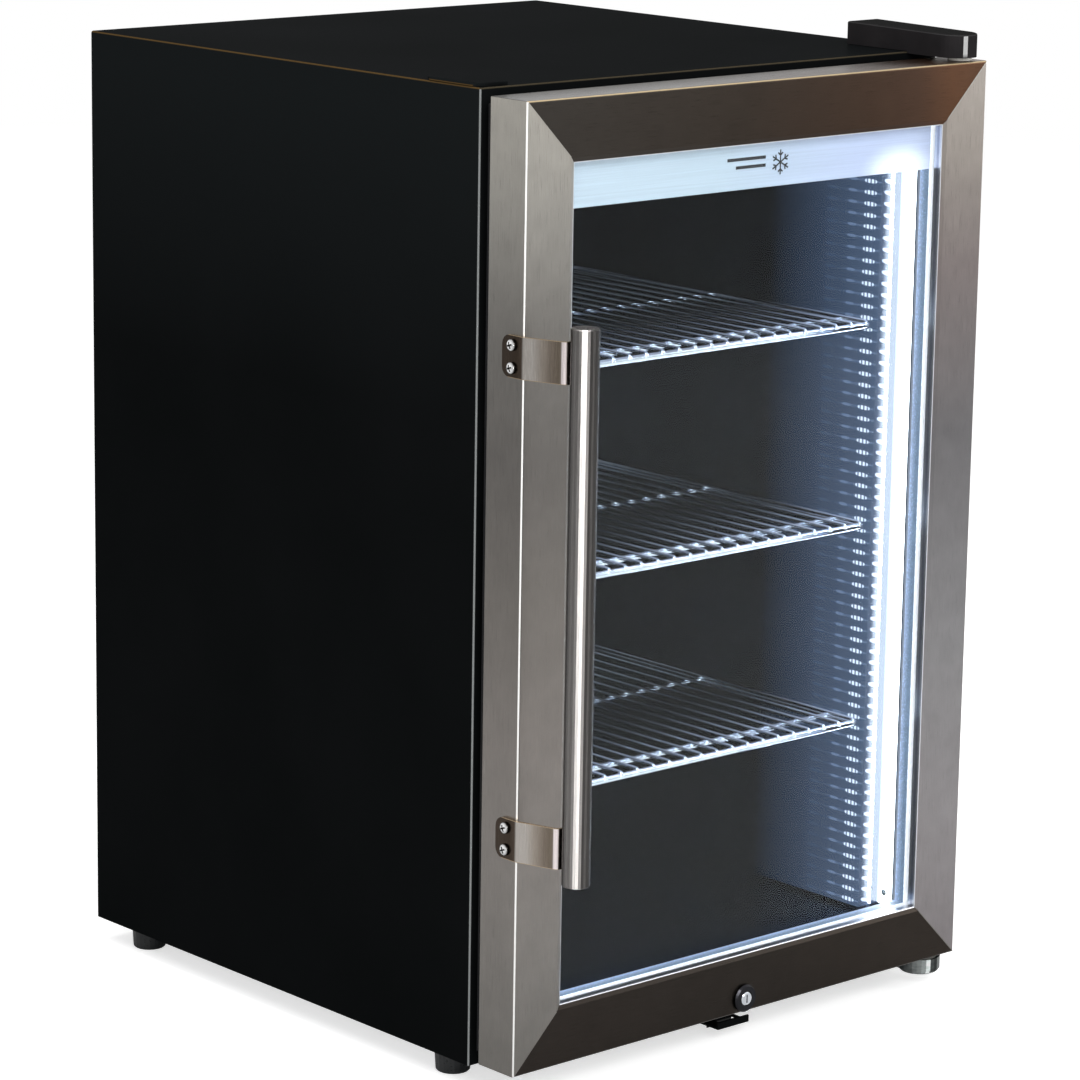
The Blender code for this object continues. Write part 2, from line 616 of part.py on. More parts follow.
def make_feet(material, left_axis, right_axis):
    """Two levelling feet with studs at the front, two plain feet at the rear."""
    def foot(name, x, y, stud, parent):
        top = CAB_BOTTOM - FIT
        profile = [(0, 0), (FOOT_BOTTOM_RADIUS - MM, 0), (FOOT_BOTTOM_RADIUS, MM),
                   (FOOT_TOP_RADIUS, top - MM), (FOOT_TOP_RADIUS - MM, top)]
        if stud:
            profile += [(FOOT_STUD_RADIUS, top), (FOOT_STUD_RADIUS, top + FOOT_STUD_LENGTH),
                        (0, top + FOOT_STUD_LENGTH)]
        else:
            profile += [(0, top)]
        solid(name, lathe(profile, "z", (x, y, 0), 20), material, (x, y, 0), parent, 35)

    front = CAB_FRONT + FOOT_INSET_Y
    back = CAB_BACK - FOOT_INSET_Y
    left = CAB_LEFT + FOOT_INSET_X
    right = CAB_RIGHT - FOOT_INSET_X
    foot("front_foot_left", left, front, True, left_axis)
    foot("front_foot_right", right, front, True, right_axis)
    foot("rear_foot_left", left, back, False, None)
    foot("rear_foot_right", right, back, False, None)


def make_top_hinge(cover_material, steel, nylon):
    """Plate, pin and washer of the top hinge, the cap over them, and the plug on the unused side."""
    left = DOOR_RIGHT - COVER_INSET - COVER_WIDTH
    right = DOOR_RIGHT - COVER_INSET
    back = FACE_Y + COVER_LENGTH
    low = DOOR_TOP + FIT + WASHER_HEIGHT + FIT
    seat = CAB_TOP + FIT
    top = CAB_TOP + COVER_HEIGHT
    cover = solid("hinge_cover", prism(round_front(left, right, back, FACE_Y), "z", low, top),
                  cover_material)
    for vert in cover.data.vertices:
        if vert.co.z > CAB_TOP + COVER_HEIGHT / 2:
            vert.co.z -= COVER_FALL * (back - vert.co.y) / COVER_LENGTH
    soften(cover, MM, 2, lambda first, second: min(first.z, second.z) > CAB_TOP + COVER_HEIGHT / 2)
    inner = round_front(left + COVER_WALL, right - COVER_WALL, back - COVER_WALL, FACE_Y + COVER_WALL)
    cut(cover, prism(inner, "z", low - CUT, top - COVER_FALL - COVER_WALL))
    cut(cover, box((left - CUT, CAB_FRONT - 2 * FIT, low - CUT), (right + CUT, back + CUT, seat)))
    cover.data.shade_smooth()
    cover.data.set_sharp_from_angle(angle=math.radians(35))

    clear = COVER_WALL + MM
    outline = round_front(left + clear, right - clear, back - clear, FACE_Y + clear)
    plate = solid("top_hinge_plate", prism(outline, "z", seat, seat + HINGE_PLATE), steel)
    cut(plate, rod("z", (HINGE_X, HINGE_Y, seat), HINGE_PIN_RADIUS + RUN, -CUT, CUT))
    pin_low = DOOR_TOP - HINGE_PIN_DEPTH
    pin_high = seat + HINGE_PLATE + HINGE_PIN_HEAD
    collar = HINGE_PIN_COLLAR
    solid("top_hinge_pin",
          lathe([(0, pin_low), (HINGE_PIN_RADIUS - MM, pin_low), (HINGE_PIN_RADIUS, pin_low + MM),
                 (HINGE_PIN_RADIUS, low + FIT / 2), (collar, low + FIT / 2), (collar, seat - FIT),
                 (HINGE_PIN_RADIUS, seat - FIT), (HINGE_PIN_RADIUS, seat + HINGE_PLATE + FIT),
                 (collar, seat + HINGE_PLATE + FIT), (collar, pin_high), (0, pin_high)],
                "z", (HINGE_X, HINGE_Y, 0), 20), steel, (HINGE_X, HINGE_Y, pin_low), None, 35)
    solid("top_hinge_washer",
          lathe([(HINGE_PIN_RADIUS + RUN, DOOR_TOP + FIT), (WASHER_RADIUS, DOOR_TOP + FIT),
                 (WASHER_RADIUS, DOOR_TOP + FIT + WASHER_HEIGHT),
                 (HINGE_PIN_RADIUS + RUN, DOOR_TOP + FIT + WASHER_HEIGHT)],
                "z", (HINGE_X, HINGE_Y, 0), 24), nylon, (HINGE_X, HINGE_Y, DOOR_TOP), None, 35)

    plug_left = 2 * MID_X - right
    plug = rounded_rectangle((plug_left, FACE_Y + COVER_LENGTH - PLUG_LENGTH),
                             (plug_left + PLUG_WIDTH, FACE_Y + COVER_LENGTH), PLUG_CORNER)
    made = solid("hinge_hole_plug", prism(plug, "z", seat, seat + PLUG_HEIGHT), cover_material)
    soften(made, 0.8 * MM, 2, lambda first, second: min(first.z, second.z) > seat + PLUG_HEIGHT / 2)


def make_bottom_hinge(steel, nylon):
    """Rimmed steel bracket under the cabinet, with the pin that carries the door."""
    right = DOOR_RIGHT - BRACKET_INSET
    left = right - BRACKET_WIDTH
    plate_top = CAB_BOTTOM - FIT
    plate_low = plate_top - BRACKET_PLATE
    rim_top = DOOR_BOTTOM - BRACKET_TO_DOOR
    rim_low = plate_low - BRACKET_SKIRT
    rim_back = CAB_FRONT - 3 * MM
    outer = round_front(left, right, rim_back, FACE_Y)
    inner = round_front(left + BRACKET_RIM, right - BRACKET_RIM, rim_back + CUT, FACE_Y + BRACKET_RIM)
    bracket = solid("bottom_hinge_bracket", prism(outer, "z", rim_low, rim_top), steel)
    cut(bracket, prism(inner, "z", plate_top, rim_top + CUT))
    cut(bracket, prism(inner, "z", rim_low - CUT, plate_low))
    plate_back = CAB_FRONT + FOOT_INSET_Y - FOOT_TOP_RADIUS - BRACKET_TO_FOOT
    join(bracket, box((left, rim_back - CUT, plate_low), (right, plate_back, plate_top)))
    cut(bracket, rod("z", (HINGE_X, HINGE_Y, plate_low), HINGE_PIN_RADIUS + RUN, -2 * CUT, 2 * CUT))

    head_low = rim_low - FIT - PIN_HEAD_HEIGHT
    head_top = rim_low - FIT
    head_x = (left + right) / 2
    pin_top = DOOR_BOTTOM + HINGE_PIN_DEPTH
    edge = PIN_HEAD_HEIGHT / 2
    profile = [(0, head_low), (PIN_HEAD_RADIUS - edge, head_low), (PIN_HEAD_RADIUS, head_low + edge),
               (PIN_HEAD_RADIUS, head_top), (0, head_top)]
    head = solid("bottom_hinge_pin", lathe(profile, "z", (head_x, FACE_Y + BRACKET_WIDTH / 2, 0), 28), steel)
    join(head, rod("z", (HINGE_X, HINGE_Y, 0), HINGE_PIN_RADIUS, head_top - MM, pin_top))
    head.data.shade_smooth()
    head.data.set_sharp_from_angle(angle=math.radians(35))
    low = plate_top + FIT
    high = DOOR_BOTTOM - FIT
    solid("bottom_hinge_washer",
          lathe([(HINGE_PIN_RADIUS + RUN, low), (LOWER_WASHER_RADIUS, low), (LOWER_WASHER_RADIUS, high),
                 (HINGE_PIN_RADIUS + RUN, high)], "z", (HINGE_X, HINGE_Y, 0), 24),
          nylon, (HINGE_X, HINGE_Y, low), None, 35)


def make_strike(material):
    """Slotted plate under the cabinet that the lock's cam drops into."""
    top = STRIKE_TOP
    low = top - STRIKE_PLATE
    tab_top = top - STRIKE_DROP + STRIKE_PLATE
    tab_low = top - STRIKE_DROP
    front = FACE_Y + STRIKE_FRONT
    bend = CAB_FRONT + MM
    outline = [(front, tab_low), (bend + STRIKE_PLATE, tab_low), (bend + STRIKE_PLATE, low),
               (bend + STRIKE_LENGTH, low), (bend + STRIKE_LENGTH, top), (bend, top), (bend, tab_top),
               (front + STRIKE_PLATE, tab_top), (front + STRIKE_PLATE, tab_top + STRIKE_LIP),
               (front, tab_top + STRIKE_LIP)]
    strike = solid("lock_strike", prism(outline, "x", LOCK_X - STRIKE_WIDTH / 2, LOCK_X + STRIKE_WIDTH / 2),
                   material)
    clear = CAM_SLOT_CLEARANCE
    sweep = math.sqrt(CAM_LENGTH ** 2 + (CAM_WIDTH / 2) ** 2 - (LOCK_Z - tab_top) ** 2)
    cut(strike, box((LOCK_X - CAM_WIDTH / 2 - clear, CAM_FRONT - clear, tab_low - CUT),
                    (LOCK_X + sweep + clear, CAM_FRONT + CAM_PLATE + clear, tab_top + CUT)))
    return strike


# ---- inside -----------------------------------------------------------------------------------
def shelf_top(index):
    return LINER_FLOOR + FIRST_SHELF + index * SHELF_SPACING


def make_shelves(material, axes):
    """Wire shelves: a rail round the edge and wires from front to back."""
    half = LINER_HALF - SHELF_SIDE_GAP
    front = SHELF_FRONT
    slots = int((2 * half - 2 * SHELF_RAIL) // SHELF_PITCH)
    step = (2 * half - 2 * SHELF_RAIL + SHELF_WIRE) / slots
    for index in range(SHELF_COUNT):
        top = shelf_top(index)
        low = top - SHELF_THICKNESS
        shelf = solid("wire_shelf_%d" % (index + 1), box((MID_X - half, front, low),
                                                         (MID_X + half, SHELF_BACK, top)), material,
                      (MID_X, front, low), axes[index])
        gaps = []
        for slot in range(slots):
            start = MID_X - half + SHELF_RAIL + slot * step
            gaps.append(box((start, front + SHELF_RAIL, low - CUT),
                            (start + step - SHELF_WIRE, SHELF_BACK - SHELF_RAIL, top + CUT)))
        cut(shelf, merged(gaps))


def make_light_bars(material):
    """Light bars on the two side walls of the liner's mouth."""
    low = FLARE_FLOOR + LIGHT_BAR_CLEAR
    high = FLARE_CEILING - LIGHT_BAR_CLEAR
    front = CAB_FRONT + FIT
    for name, side in (("light_bar_left", -1), ("light_bar_right", 1)):
        wall = MID_X + side * (FLARE_HALF - FIT)
        face = wall - side * LIGHT_BAR_THICKNESS
        solid(name, box((min(wall, face), front, low), (max(wall, face), front + LIGHT_BAR_WIDTH, high)),
              material)


def make_evaporator_and_fan(metal, plastic, motor_material, fan_axis):
    """Cold plate on the back wall, and a fan behind a cover that blows over it."""
    half = LINER_HALF - EVAPORATOR_SIDE_GAP
    plate = solid("evaporator_plate", box((MID_X - half, EVAPORATOR_FRONT, HUMP_TOP + EVAPORATOR_RAISE),
                                          (MID_X + half, LINER_BACK - FIT, EVAPORATOR_TOP)), metal)
    soften(plate, MM, 1, lambda first, second: abs(first.y - second.y) < MM / 2)

    cover_width, cover_depth, cover_height = FAN_COVER
    back = EVAPORATOR_FRONT - FIT
    front = back - cover_depth
    top = EVAPORATOR_TOP - FAN_COVER_DROP
    low = top - cover_height
    cover = solid("fan_cover", box((MID_X - cover_width / 2, front, low),
                                   (MID_X + cover_width / 2, back, top)), plastic)
    soften(cover, 6 * MM, 2, lambda first, second: max(first.y, second.y) < front + MM)
    wall = FAN_COVER_WALL
    cut(cover, box((MID_X - cover_width / 2 + wall, front + wall, low + wall),
                   (MID_X + cover_width / 2 - wall, back + CUT, top - wall)))
    fan_z = fan_axis.location.z
    slots = []
    pitch = 2 * FAN_HOLE_RADIUS / FAN_GRILLE_ROWS
    half_slot = (pitch - FAN_GRILLE_BAR) / 2
    for row in range(FAN_GRILLE_ROWS):
        centre = fan_z - FAN_HOLE_RADIUS + pitch * (row + 0.5)
        reach = math.sqrt(FAN_HOLE_RADIUS ** 2 - (centre - fan_z) ** 2)
        slots.append(box((MID_X - reach, front - CUT, centre - half_slot),
                         (MID_X + reach, front + 2 * wall, centre + half_slot)))
    cut(cover, merged(slots))

    motor_front = back - FIT - FAN_MOTOR_LENGTH
    solid("fan_motor", rod("y", (MID_X, 0, fan_z), FAN_MOTOR_RADIUS, motor_front, back - FIT, 20),
          motor_material, (MID_X, motor_front, fan_z), None, 35)
    rotor_back = motor_front - RUN
    rotor_front = rotor_back - FAN_DEPTH
    rotor = solid("fan_rotor", rod("y", (MID_X, 0, fan_z), FAN_HUB_RADIUS, rotor_front, rotor_back, 20),
                  plastic, (MID_X, rotor_back, fan_z), fan_axis)
    for blade in range(FAN_BLADES):
        fin = box((FAN_HUB_RADIUS - MM, -FAN_BLADE_THICKNESS / 2, -FAN_BLADE_CHORD / 2),
                  (FAN_RADIUS, FAN_BLADE_THICKNESS / 2, FAN_BLADE_CHORD / 2))
        tilt = Matrix.Rotation(math.radians(FAN_BLADE_PITCH), 4, "X")
        turn = Matrix.Rotation(math.tau * blade / FAN_BLADES, 4, "Y")
        middle = Matrix.Translation((MID_X, (rotor_front + rotor_back) / 2, fan_z))
        bmesh.ops.transform(fin, matrix=middle @ turn @ tilt, verts=fin.verts)
        join(rotor, fin)


def make_controls(plastic, dark, knob_axis, switch_axis):
    """Control box under the ceiling, with the thermostat's knob and the light's rocker switch."""
    width, depth, height = CONTROL_BOX
    front = CAB_FRONT + CONTROL_BOX_SETBACK
    top = LINER_CEILING - FIT
    housing = solid("control_box", box((MID_X - width / 2, front, top - height),
                                       (MID_X + width / 2, front + depth, top)), plastic)
    soften(housing, 3 * MM, 2, lambda first, second: max(first.z, second.z) < top - height + MM)
    switch = switch_axis.location
    pocket = SWITCH_RADIUS + 1.2 * MM
    cut(housing, box((switch.x - SWITCH_WIDTH / 2 - 2 * FIT, front - CUT, switch.z - pocket),
                     (switch.x + SWITCH_WIDTH / 2 + 2 * FIT, switch.y + pocket, switch.z + pocket)))
    knob = knob_axis.location
    radius = KNOB_RADIUS
    ridge = [(0, -KNOB_HEIGHT), (radius - 3 * MM, -KNOB_HEIGHT), (radius - 2 * MM, -KNOB_HEIGHT + MM),
             (radius - MM, -2 * MM), (radius, -MM), (radius, -FIT), (0, -FIT)]
    solid("thermostat_knob", lathe(ridge, "y", (knob.x, front, knob.z), 24), dark,
          (knob.x, front, knob.z), knob_axis, 35)
    rest = math.radians(-SWITCH_TILT)
    outline = []
    for degrees in range(-70, 71, 20):
        angle = math.radians(degrees)
        outline.append((SWITCH_RADIUS * math.cos(angle), SWITCH_RADIUS * math.sin(angle)))
    outline += [(-3.6 * MM, 4.6 * MM), (-1.6 * MM, 0), (-3.6 * MM, -4.6 * MM)]
    turned = [(switch.y + y * math.cos(rest) - z * math.sin(rest),
               switch.z + y * math.sin(rest) + z * math.cos(rest)) for y, z in outline]
    solid("light_switch", prism(turned, "x", switch.x - SWITCH_WIDTH / 2, switch.x + SWITCH_WIDTH / 2),
          dark, switch, switch_axis)


# ---- cooling machine --------------------------------------------------------------------------
def compressor_place():
    return Vector((MID_X + COMPRESSOR_X, CAB_BACK - COMPRESSOR_FROM_BACK, 0))


def compressor_low():
    return CAB_BOTTOM + SHEET + FIT + MOUNT_LEG_HEIGHT + MOUNT_PLATE[2] + FIT


def make_compressor(black, steel, plastic):
    """Hermetic compressor on its mounting plate, its terminal cover, and the tray for melt water."""
    place = compressor_place()
    width, depth, thickness = MOUNT_PLATE
    floor = CAB_BOTTOM + SHEET + FIT
    plate_low = floor + MOUNT_LEG_HEIGHT
    low_corner = (place.x - width / 2, place.y - depth / 2, plate_low)
    high_corner = (place.x + width / 2, place.y + depth / 2, plate_low + thickness)
    plate = solid("compressor_mount", box(low_corner, high_corner), steel)
    soften(plate, 12 * MM, 3, lambda first, second: abs(first.z - second.z) > thickness / 2)
    legs = [rod("z", (place.x + side * (width / 2 - 14 * MM), place.y + end * (depth / 2 - 14 * MM), 0),
                MOUNT_LEG_RADIUS, floor, plate_low + MM, 12) for side in (-1, 1) for end in (-1, 1)]
    for leg in legs:
        join(plate, leg)

    low = compressor_low()
    radius = COMPRESSOR_RADIUS
    tall = COMPRESSOR_HEIGHT
    shares = [(0, 0), (0.72, 0), (0.93, 0.13), (0.96, 0.46), (1, 0.48), (1, 0.54), (0.96, 0.56),
              (0.9, 0.8), (0.68, 0.95), (0.4, 1), (0, 1)]
    profile = [(radius * out, low + tall * up) for out, up in shares]
    solid("compressor", lathe(profile, "z", (place.x, place.y, 0), 32), black,
          (place.x, place.y, low), None, 35)

    cover_x, cover_y, cover_z = TERMINAL_COVER
    high_x = place.x - radius - FIT
    cover_low = low + tall * 0.28
    cover = solid("terminal_cover", box((high_x - cover_x, place.y - cover_y / 2, cover_low),
                                        (high_x, place.y + cover_y / 2, cover_low + cover_z)), plastic)
    soften(cover, 3 * MM, 2, lambda first, second: max(first.x, second.x) < high_x - MM)

    tray_x, tray_y, tray_z = TRAY
    tray_low = low + tall + FIT
    half_x = tray_x / 2
    half_y = tray_y / 2
    tray = solid("melt_water_tray", box((place.x - half_x, place.y - half_y, tray_low),
                                        (place.x + half_x, place.y + half_y, tray_low + tray_z)), plastic)
    soften(tray, 5 * MM, 2, lambda first, second: abs(first.z - second.z) > tray_z / 2)
    half_x -= TRAY_WALL
    half_y -= TRAY_WALL
    cut(tray, box((place.x - half_x, place.y - half_y, tray_low + TRAY_WALL),
                  (place.x + half_x, place.y + half_y, tray_low + tray_z + CUT)))


def coil_run_z(run):
    return COIL_BOTTOM + run * COIL_PITCH


def make_condenser(black, steel, copper):
    """Serpentine pipe on two support plates, the filter drier and the suction pipe."""
    y = COIL_Y
    place = compressor_place()
    stub_x = place.x + COIL_STUB_X
    stub_y = place.y + math.sqrt(COMPRESSOR_RADIUS ** 2 - COIL_STUB_X ** 2) + FIT
    stub_z = compressor_low() + COMPRESSOR_HEIGHT * 0.46 - COIL_TUBE_RADIUS
    top = coil_run_z(COIL_RUNS - 1)
    right = MID_X + COIL_HALF_WIDTH
    left = MID_X - COIL_HALF_WIDTH
    rise_x = right + COIL_RISER_OUT
    route = [(stub_x, stub_y, stub_z), (stub_x, y, stub_z), (rise_x, y, stub_z), (rise_x, y, top),
             (right, y, top)]
    points = bent_route(route, 8 * MM)[:-1]
    turn = COIL_PITCH / 2
    for run in reversed(range(COIL_RUNS)):
        z = coil_run_z(run)
        leftwards = (COIL_RUNS - 1 - run) % 2 == 0
        start, end = (right, left) if leftwards else (left, right)
        side = -1 if leftwards else 1
        points += [Vector((start, y, z)), Vector((end, y, z))]
        if run:
            for step in range(1, 6):
                angle = math.pi * step / 6
                points.append(Vector((end + side * turn * math.sin(angle) * 0.7, y,
                                      z - turn * (1 - math.cos(angle)))))
    drier_top = COIL_BOTTOM - DRIER_DROP
    end_x = left - DRIER_OUT
    tail = [(left, y, COIL_BOTTOM), (end_x, y, COIL_BOTTOM), (end_x, y, drier_top + FIT)]
    points += bent_route(tail, 10 * MM)[1:]
    pipe("condenser_coil", points, COIL_TUBE_RADIUS, black)

    for name, side in (("condenser_plate_left", -1), ("condenser_plate_right", 1)):
        x = MID_X + side * COIL_PLATE_X
        plate = solid(name, box((x - COIL_PLATE / 2, CAB_BACK + FIT, coil_run_z(0) - 12 * MM),
                                (x + COIL_PLATE / 2, CAB_BACK + REAR_STANDOFF, top + 12 * MM)), steel)
        holes = [rod("x", (x, y, coil_run_z(run)), COIL_TUBE_RADIUS + FIT, -CUT, CUT, 8)
                 for run in range(COIL_RUNS)]
        cut(plate, merged(holes))

    taper = DRIER_RADIUS * 0.45
    solid("filter_drier",
          lathe([(0, 0), (taper, 0), (DRIER_RADIUS, 8 * MM), (DRIER_RADIUS, DRIER_LENGTH - 8 * MM),
                 (taper, DRIER_LENGTH), (0, DRIER_LENGTH)], "z", (end_x, y, drier_top - DRIER_LENGTH), 16),
          copper, (end_x, y, drier_top - DRIER_LENGTH), None, 35)

    down_x = place.x + COMPRESSOR_RADIUS + SUCTION_OUT
    end_x = place.x + COMPRESSOR_RADIUS * 0.945 + FIT
    low_z = compressor_low() + COMPRESSOR_HEIGHT * 0.66
    route = [(down_x, place.y, MACHINE_TOP - FIT), (down_x, place.y, low_z), (end_x, place.y, low_z)]
    pipe("suction_pipe", bent_route(route, 10 * MM), SUCTION_RADIUS, copper)


def make_cord_gland(material):
    """Bush in the back panel where the mains lead enters."""
    centre = (CAB_RIGHT - GLAND_INSET, 0, MACHINE_TOP + GLAND_RAISE)
    seat = CAB_BACK + FIT
    bore = GLAND_RADIUS * 0.45
    profile = [(bore, seat), (GLAND_RADIUS, seat), (GLAND_RADIUS, seat + 3 * MM),
               (GLAND_RADIUS * 0.75, seat + 3 * MM), (GLAND_RADIUS * 0.65, seat + GLAND_LENGTH),
               (bore, seat + GLAND_LENGTH)]
    solid("cord_gland", lathe(profile, "y", centre, 20), material, (centre[0], seat, centre[2]), None, 35)


# ---- door -------------------------------------------------------------------------------------
def make_door_frame(steel, hinge):
    """Four mitred stainless members, each a folded section: side wall, face, bevel and glass return."""
    back = DOOR_BACK - FIT
    bend = []
    for step in range(5):
        angle = math.radians(90 * step / 4)
        bend.append((FRAME_BEND * (1 - math.cos(angle)), FACE_Y + FRAME_BEND * (1 - math.sin(angle))))
    inner_bend = SHEET * 1.2
    lip = FACE_Y + GLASS_SETBACK - FIT
    outside = [(0, back)] + bend + [(FACE_WIDTH, FACE_Y), (OPENING_INSET, FACE_Y + BEVEL_DEPTH),
                                    (OPENING_INSET, lip)]
    inside = [(OPENING_INSET - SHEET, lip), (OPENING_INSET - SHEET, FACE_Y + BEVEL_DEPTH + SHEET * 0.7),
              (FACE_WIDTH - SHEET * 0.2, FACE_Y + SHEET), (inner_bend, FACE_Y + SHEET),
              (SHEET, FACE_Y + inner_bend), (SHEET, back)]
    made = {}
    for name, side in (("door_top_rail", "top"), ("door_bottom_rail", "bottom"),
                       ("door_left_stile", "left"), ("door_right_stile", "right")):
        made[side] = solid(name, door_member(outside + inside, side), steel, hinge.location, hinge)
    pin = rod("z", (HINGE_X, HINGE_Y, DOOR_TOP), HINGE_PIN_RADIUS + RUN, -CUT, CUT)
    cut(made["top"], pin)
    pin = rod("z", (HINGE_X, HINGE_Y, DOOR_BOTTOM), HINGE_PIN_RADIUS + RUN, -CUT, CUT)
    cut(made["bottom"], pin)
    cut(made["bottom"], rod("y", (LOCK_X, 0, LOCK_Z), LOCK_BODY_RADIUS + RUN, FACE_Y - CUT, FACE_Y + CUT, 24))
    cut(made["bottom"], box((LOCK_X - CAM_WIDTH / 2 - MM, CAM_FRONT - MM, DOOR_BOTTOM - CUT),
                            (LOCK_X + CAM_LENGTH + MM, CAM_FRONT + CAM_PLATE + MM, DOOR_BOTTOM + 2 * SHEET)))
    holes = [rod("x", (DOOR_LEFT, y, z), SCREW_RADIUS + RUN, -CUT, CUT, 12) for y, z in handle_screw_places()]
    cut(made["left"], merged(holes))


def make_glazing(glass, metal, header_material, frame_material, rubber, hinge):
    """Two panes on a spacer, the header strip behind the outer pane, the inner frame and the gasket."""
    outer_front = FACE_Y + GLASS_SETBACK
    inner_front = outer_front + PANE + PANE_SPACE + 2 * FIT
    low = (DOOR_LEFT + PANE_INSET, DOOR_BOTTOM + PANE_INSET)
    high = (DOOR_RIGHT - PANE_INSET, DOOR_TOP - PANE_INSET)
    for name, front in (("outer_glass", outer_front), ("inner_glass", inner_front)):
        solid(name, box((low[0], front, low[1]), (high[0], front + PANE, high[1])), glass,
              hinge.location, hinge)
    front = outer_front + PANE + FIT
    back = front + PANE_SPACE
    spacer_end = SPACER_INSET + SPACER_WIDTH
    spacer = [(SPACER_INSET, back), (SPACER_INSET, front), (spacer_end, front), (spacer_end, back)]
    solid("glass_spacer", door_ring(spacer), metal, hinge.location, hinge)
    side = spacer_end + FIT
    header_top = DOOR_TOP - side
    header_low = DOOR_TOP - OPENING_INSET - HEADER_HEIGHT
    solid("header_panel", box((DOOR_LEFT + side, front, header_low),
                              (DOOR_RIGHT - side, front + HEADER_THICKNESS, header_top)),
          header_material, hinge.location, hinge)
    wall = SHEET + FIT
    front = inner_front + PANE + FIT
    back = DOOR_BACK - FIT
    section = [(wall, back), (wall, front), (INNER_FRAME_INSET, front),
               (INNER_FRAME_INSET, front + INNER_FRAME_EDGE), (INNER_FRAME_BACK_INSET, back)]
    solid("door_inner_frame", door_ring(section), frame_material, hinge.location, hinge)
    front = DOOR_BACK
    back = CAB_FRONT - FIT
    outer = GASKET_INSET
    inner = GASKET_INSET + GASKET_WIDTH
    section = [(outer, back - GASKET_CHAMFER / 2), (outer, front + 2 * MM), (outer + 2 * MM, front),
               (inner - 2 * MM, front), (inner, front + 2 * MM), (inner, back - MM), (inner - MM, back),
               (outer + GASKET_CHAMFER, back)]
    solid("door_gasket", door_ring(section), rubber, hinge.location, hinge)


def handle_bracket_heights():
    return [DOOR_MIDDLE_Z - HANDLE_SPACING / 2, DOOR_MIDDLE_Z + HANDLE_SPACING / 2]


def handle_screw_places():
    return [(FACE_Y + SCREW_FROM_FACE, middle + side * SCREW_SPACING / 2)
            for middle in handle_bracket_heights() for side in (-1, 1)]


def make_handle(steel, screw_steel, hinge):
    """Round bar on two folded plates that are screwed to the door's left side."""
    side_x = DOOR_LEFT - FIT - HANDLE_PLATE / 2
    front_y = FACE_Y - HANDLE_REACH
    path = [(side_x, FACE_Y + HANDLE_FLANGE), (side_x, FACE_Y - FIT - HANDLE_PLATE / 2),
            (DOOR_LEFT + HANDLE_SHIFT, front_y), (TUBE_X + TUBE_RADIUS * 0.8, front_y)]
    path = [Vector((x, y, 0)) for x, y in path]
    rounded = [path[0]] + bent_route(path, 2.5 * MM, 3)[1:-1] + [path[-1]]
    outline = strip_outline(rounded, HANDLE_PLATE)
    for name, middle in zip(("handle_bracket_lower", "handle_bracket_upper"), handle_bracket_heights()):
        low = middle - HANDLE_PLATE_HEIGHT / 2
        high = middle + HANDLE_PLATE_HEIGHT / 2
        bracket = solid(name, prism(outline, "z", low, high), steel, hinge.location, hinge)
        world_y = FACE_Y + HANDLE_FLANGE - hinge.location.y
        soften(bracket, HANDLE_CORNER, 4, lambda first, second: min(first.y, second.y) > world_y - MM / 10
               and abs(first.x - second.x) > HANDLE_PLATE / 2)
        holes = [rod("x", (DOOR_LEFT, y, z), SCREW_RADIUS + RUN, -CUT, CUT, 12)
                 for y, z in handle_screw_places() if low < z < high]
        cut(bracket, merged(holes))
        bracket.data.shade_smooth()
        bracket.data.set_sharp_from_angle(angle=math.radians(35))
    half = TUBE_LENGTH / 2
    solid("handle_bar",
          lathe([(0, -half), (TUBE_RADIUS - 0.6 * MM, -half), (TUBE_RADIUS, -half + 0.6 * MM),
                 (TUBE_RADIUS, half - 0.6 * MM), (TUBE_RADIUS - 0.6 * MM, half), (0, half)],
                "z", (TUBE_X, TUBE_Y, DOOR_MIDDLE_Z), 32), steel, (TUBE_X, TUBE_Y, DOOR_MIDDLE_Z), hinge, 35)
    head_base = DOOR_LEFT - FIT - HANDLE_PLATE - FIT
    head = SCREW_HEAD_RADIUS
    for number, (y, z) in enumerate(handle_screw_places(), 1):
        profile = [(0, SCREW_LENGTH), (SCREW_RADIUS, SCREW_LENGTH), (SCREW_RADIUS, 0), (head, 0),
                   (head, -SCREW_HEAD_HEIGHT * 0.45), (head * 0.8, -SCREW_HEAD_HEIGHT * 0.85),
                   (head * 0.4, -SCREW_HEAD_HEIGHT), (0, -SCREW_HEAD_HEIGHT)]
        solid("handle_screw_%d" % number, lathe(profile, "x", (head_base, y, z), 16), screw_steel,
              (head_base, y, z), hinge, 50)


def strip_outline(path, thickness):
    """Both sides of a bent strip, from its centre line."""
    left = []
    right = []
    count = len(path)
    for index, point in enumerate(path):
        before = path[max(index - 1, 0)]
        after = path[min(index + 1, count - 1)]
        along = (after - before).normalized()
        across = Vector((-along.y, along.x, 0)) * thickness / 2
        left.append((point.x + across.x, point.y + across.y))
        right.append((point.x - across.x, point.y - across.y))
    return left + right[::-1]


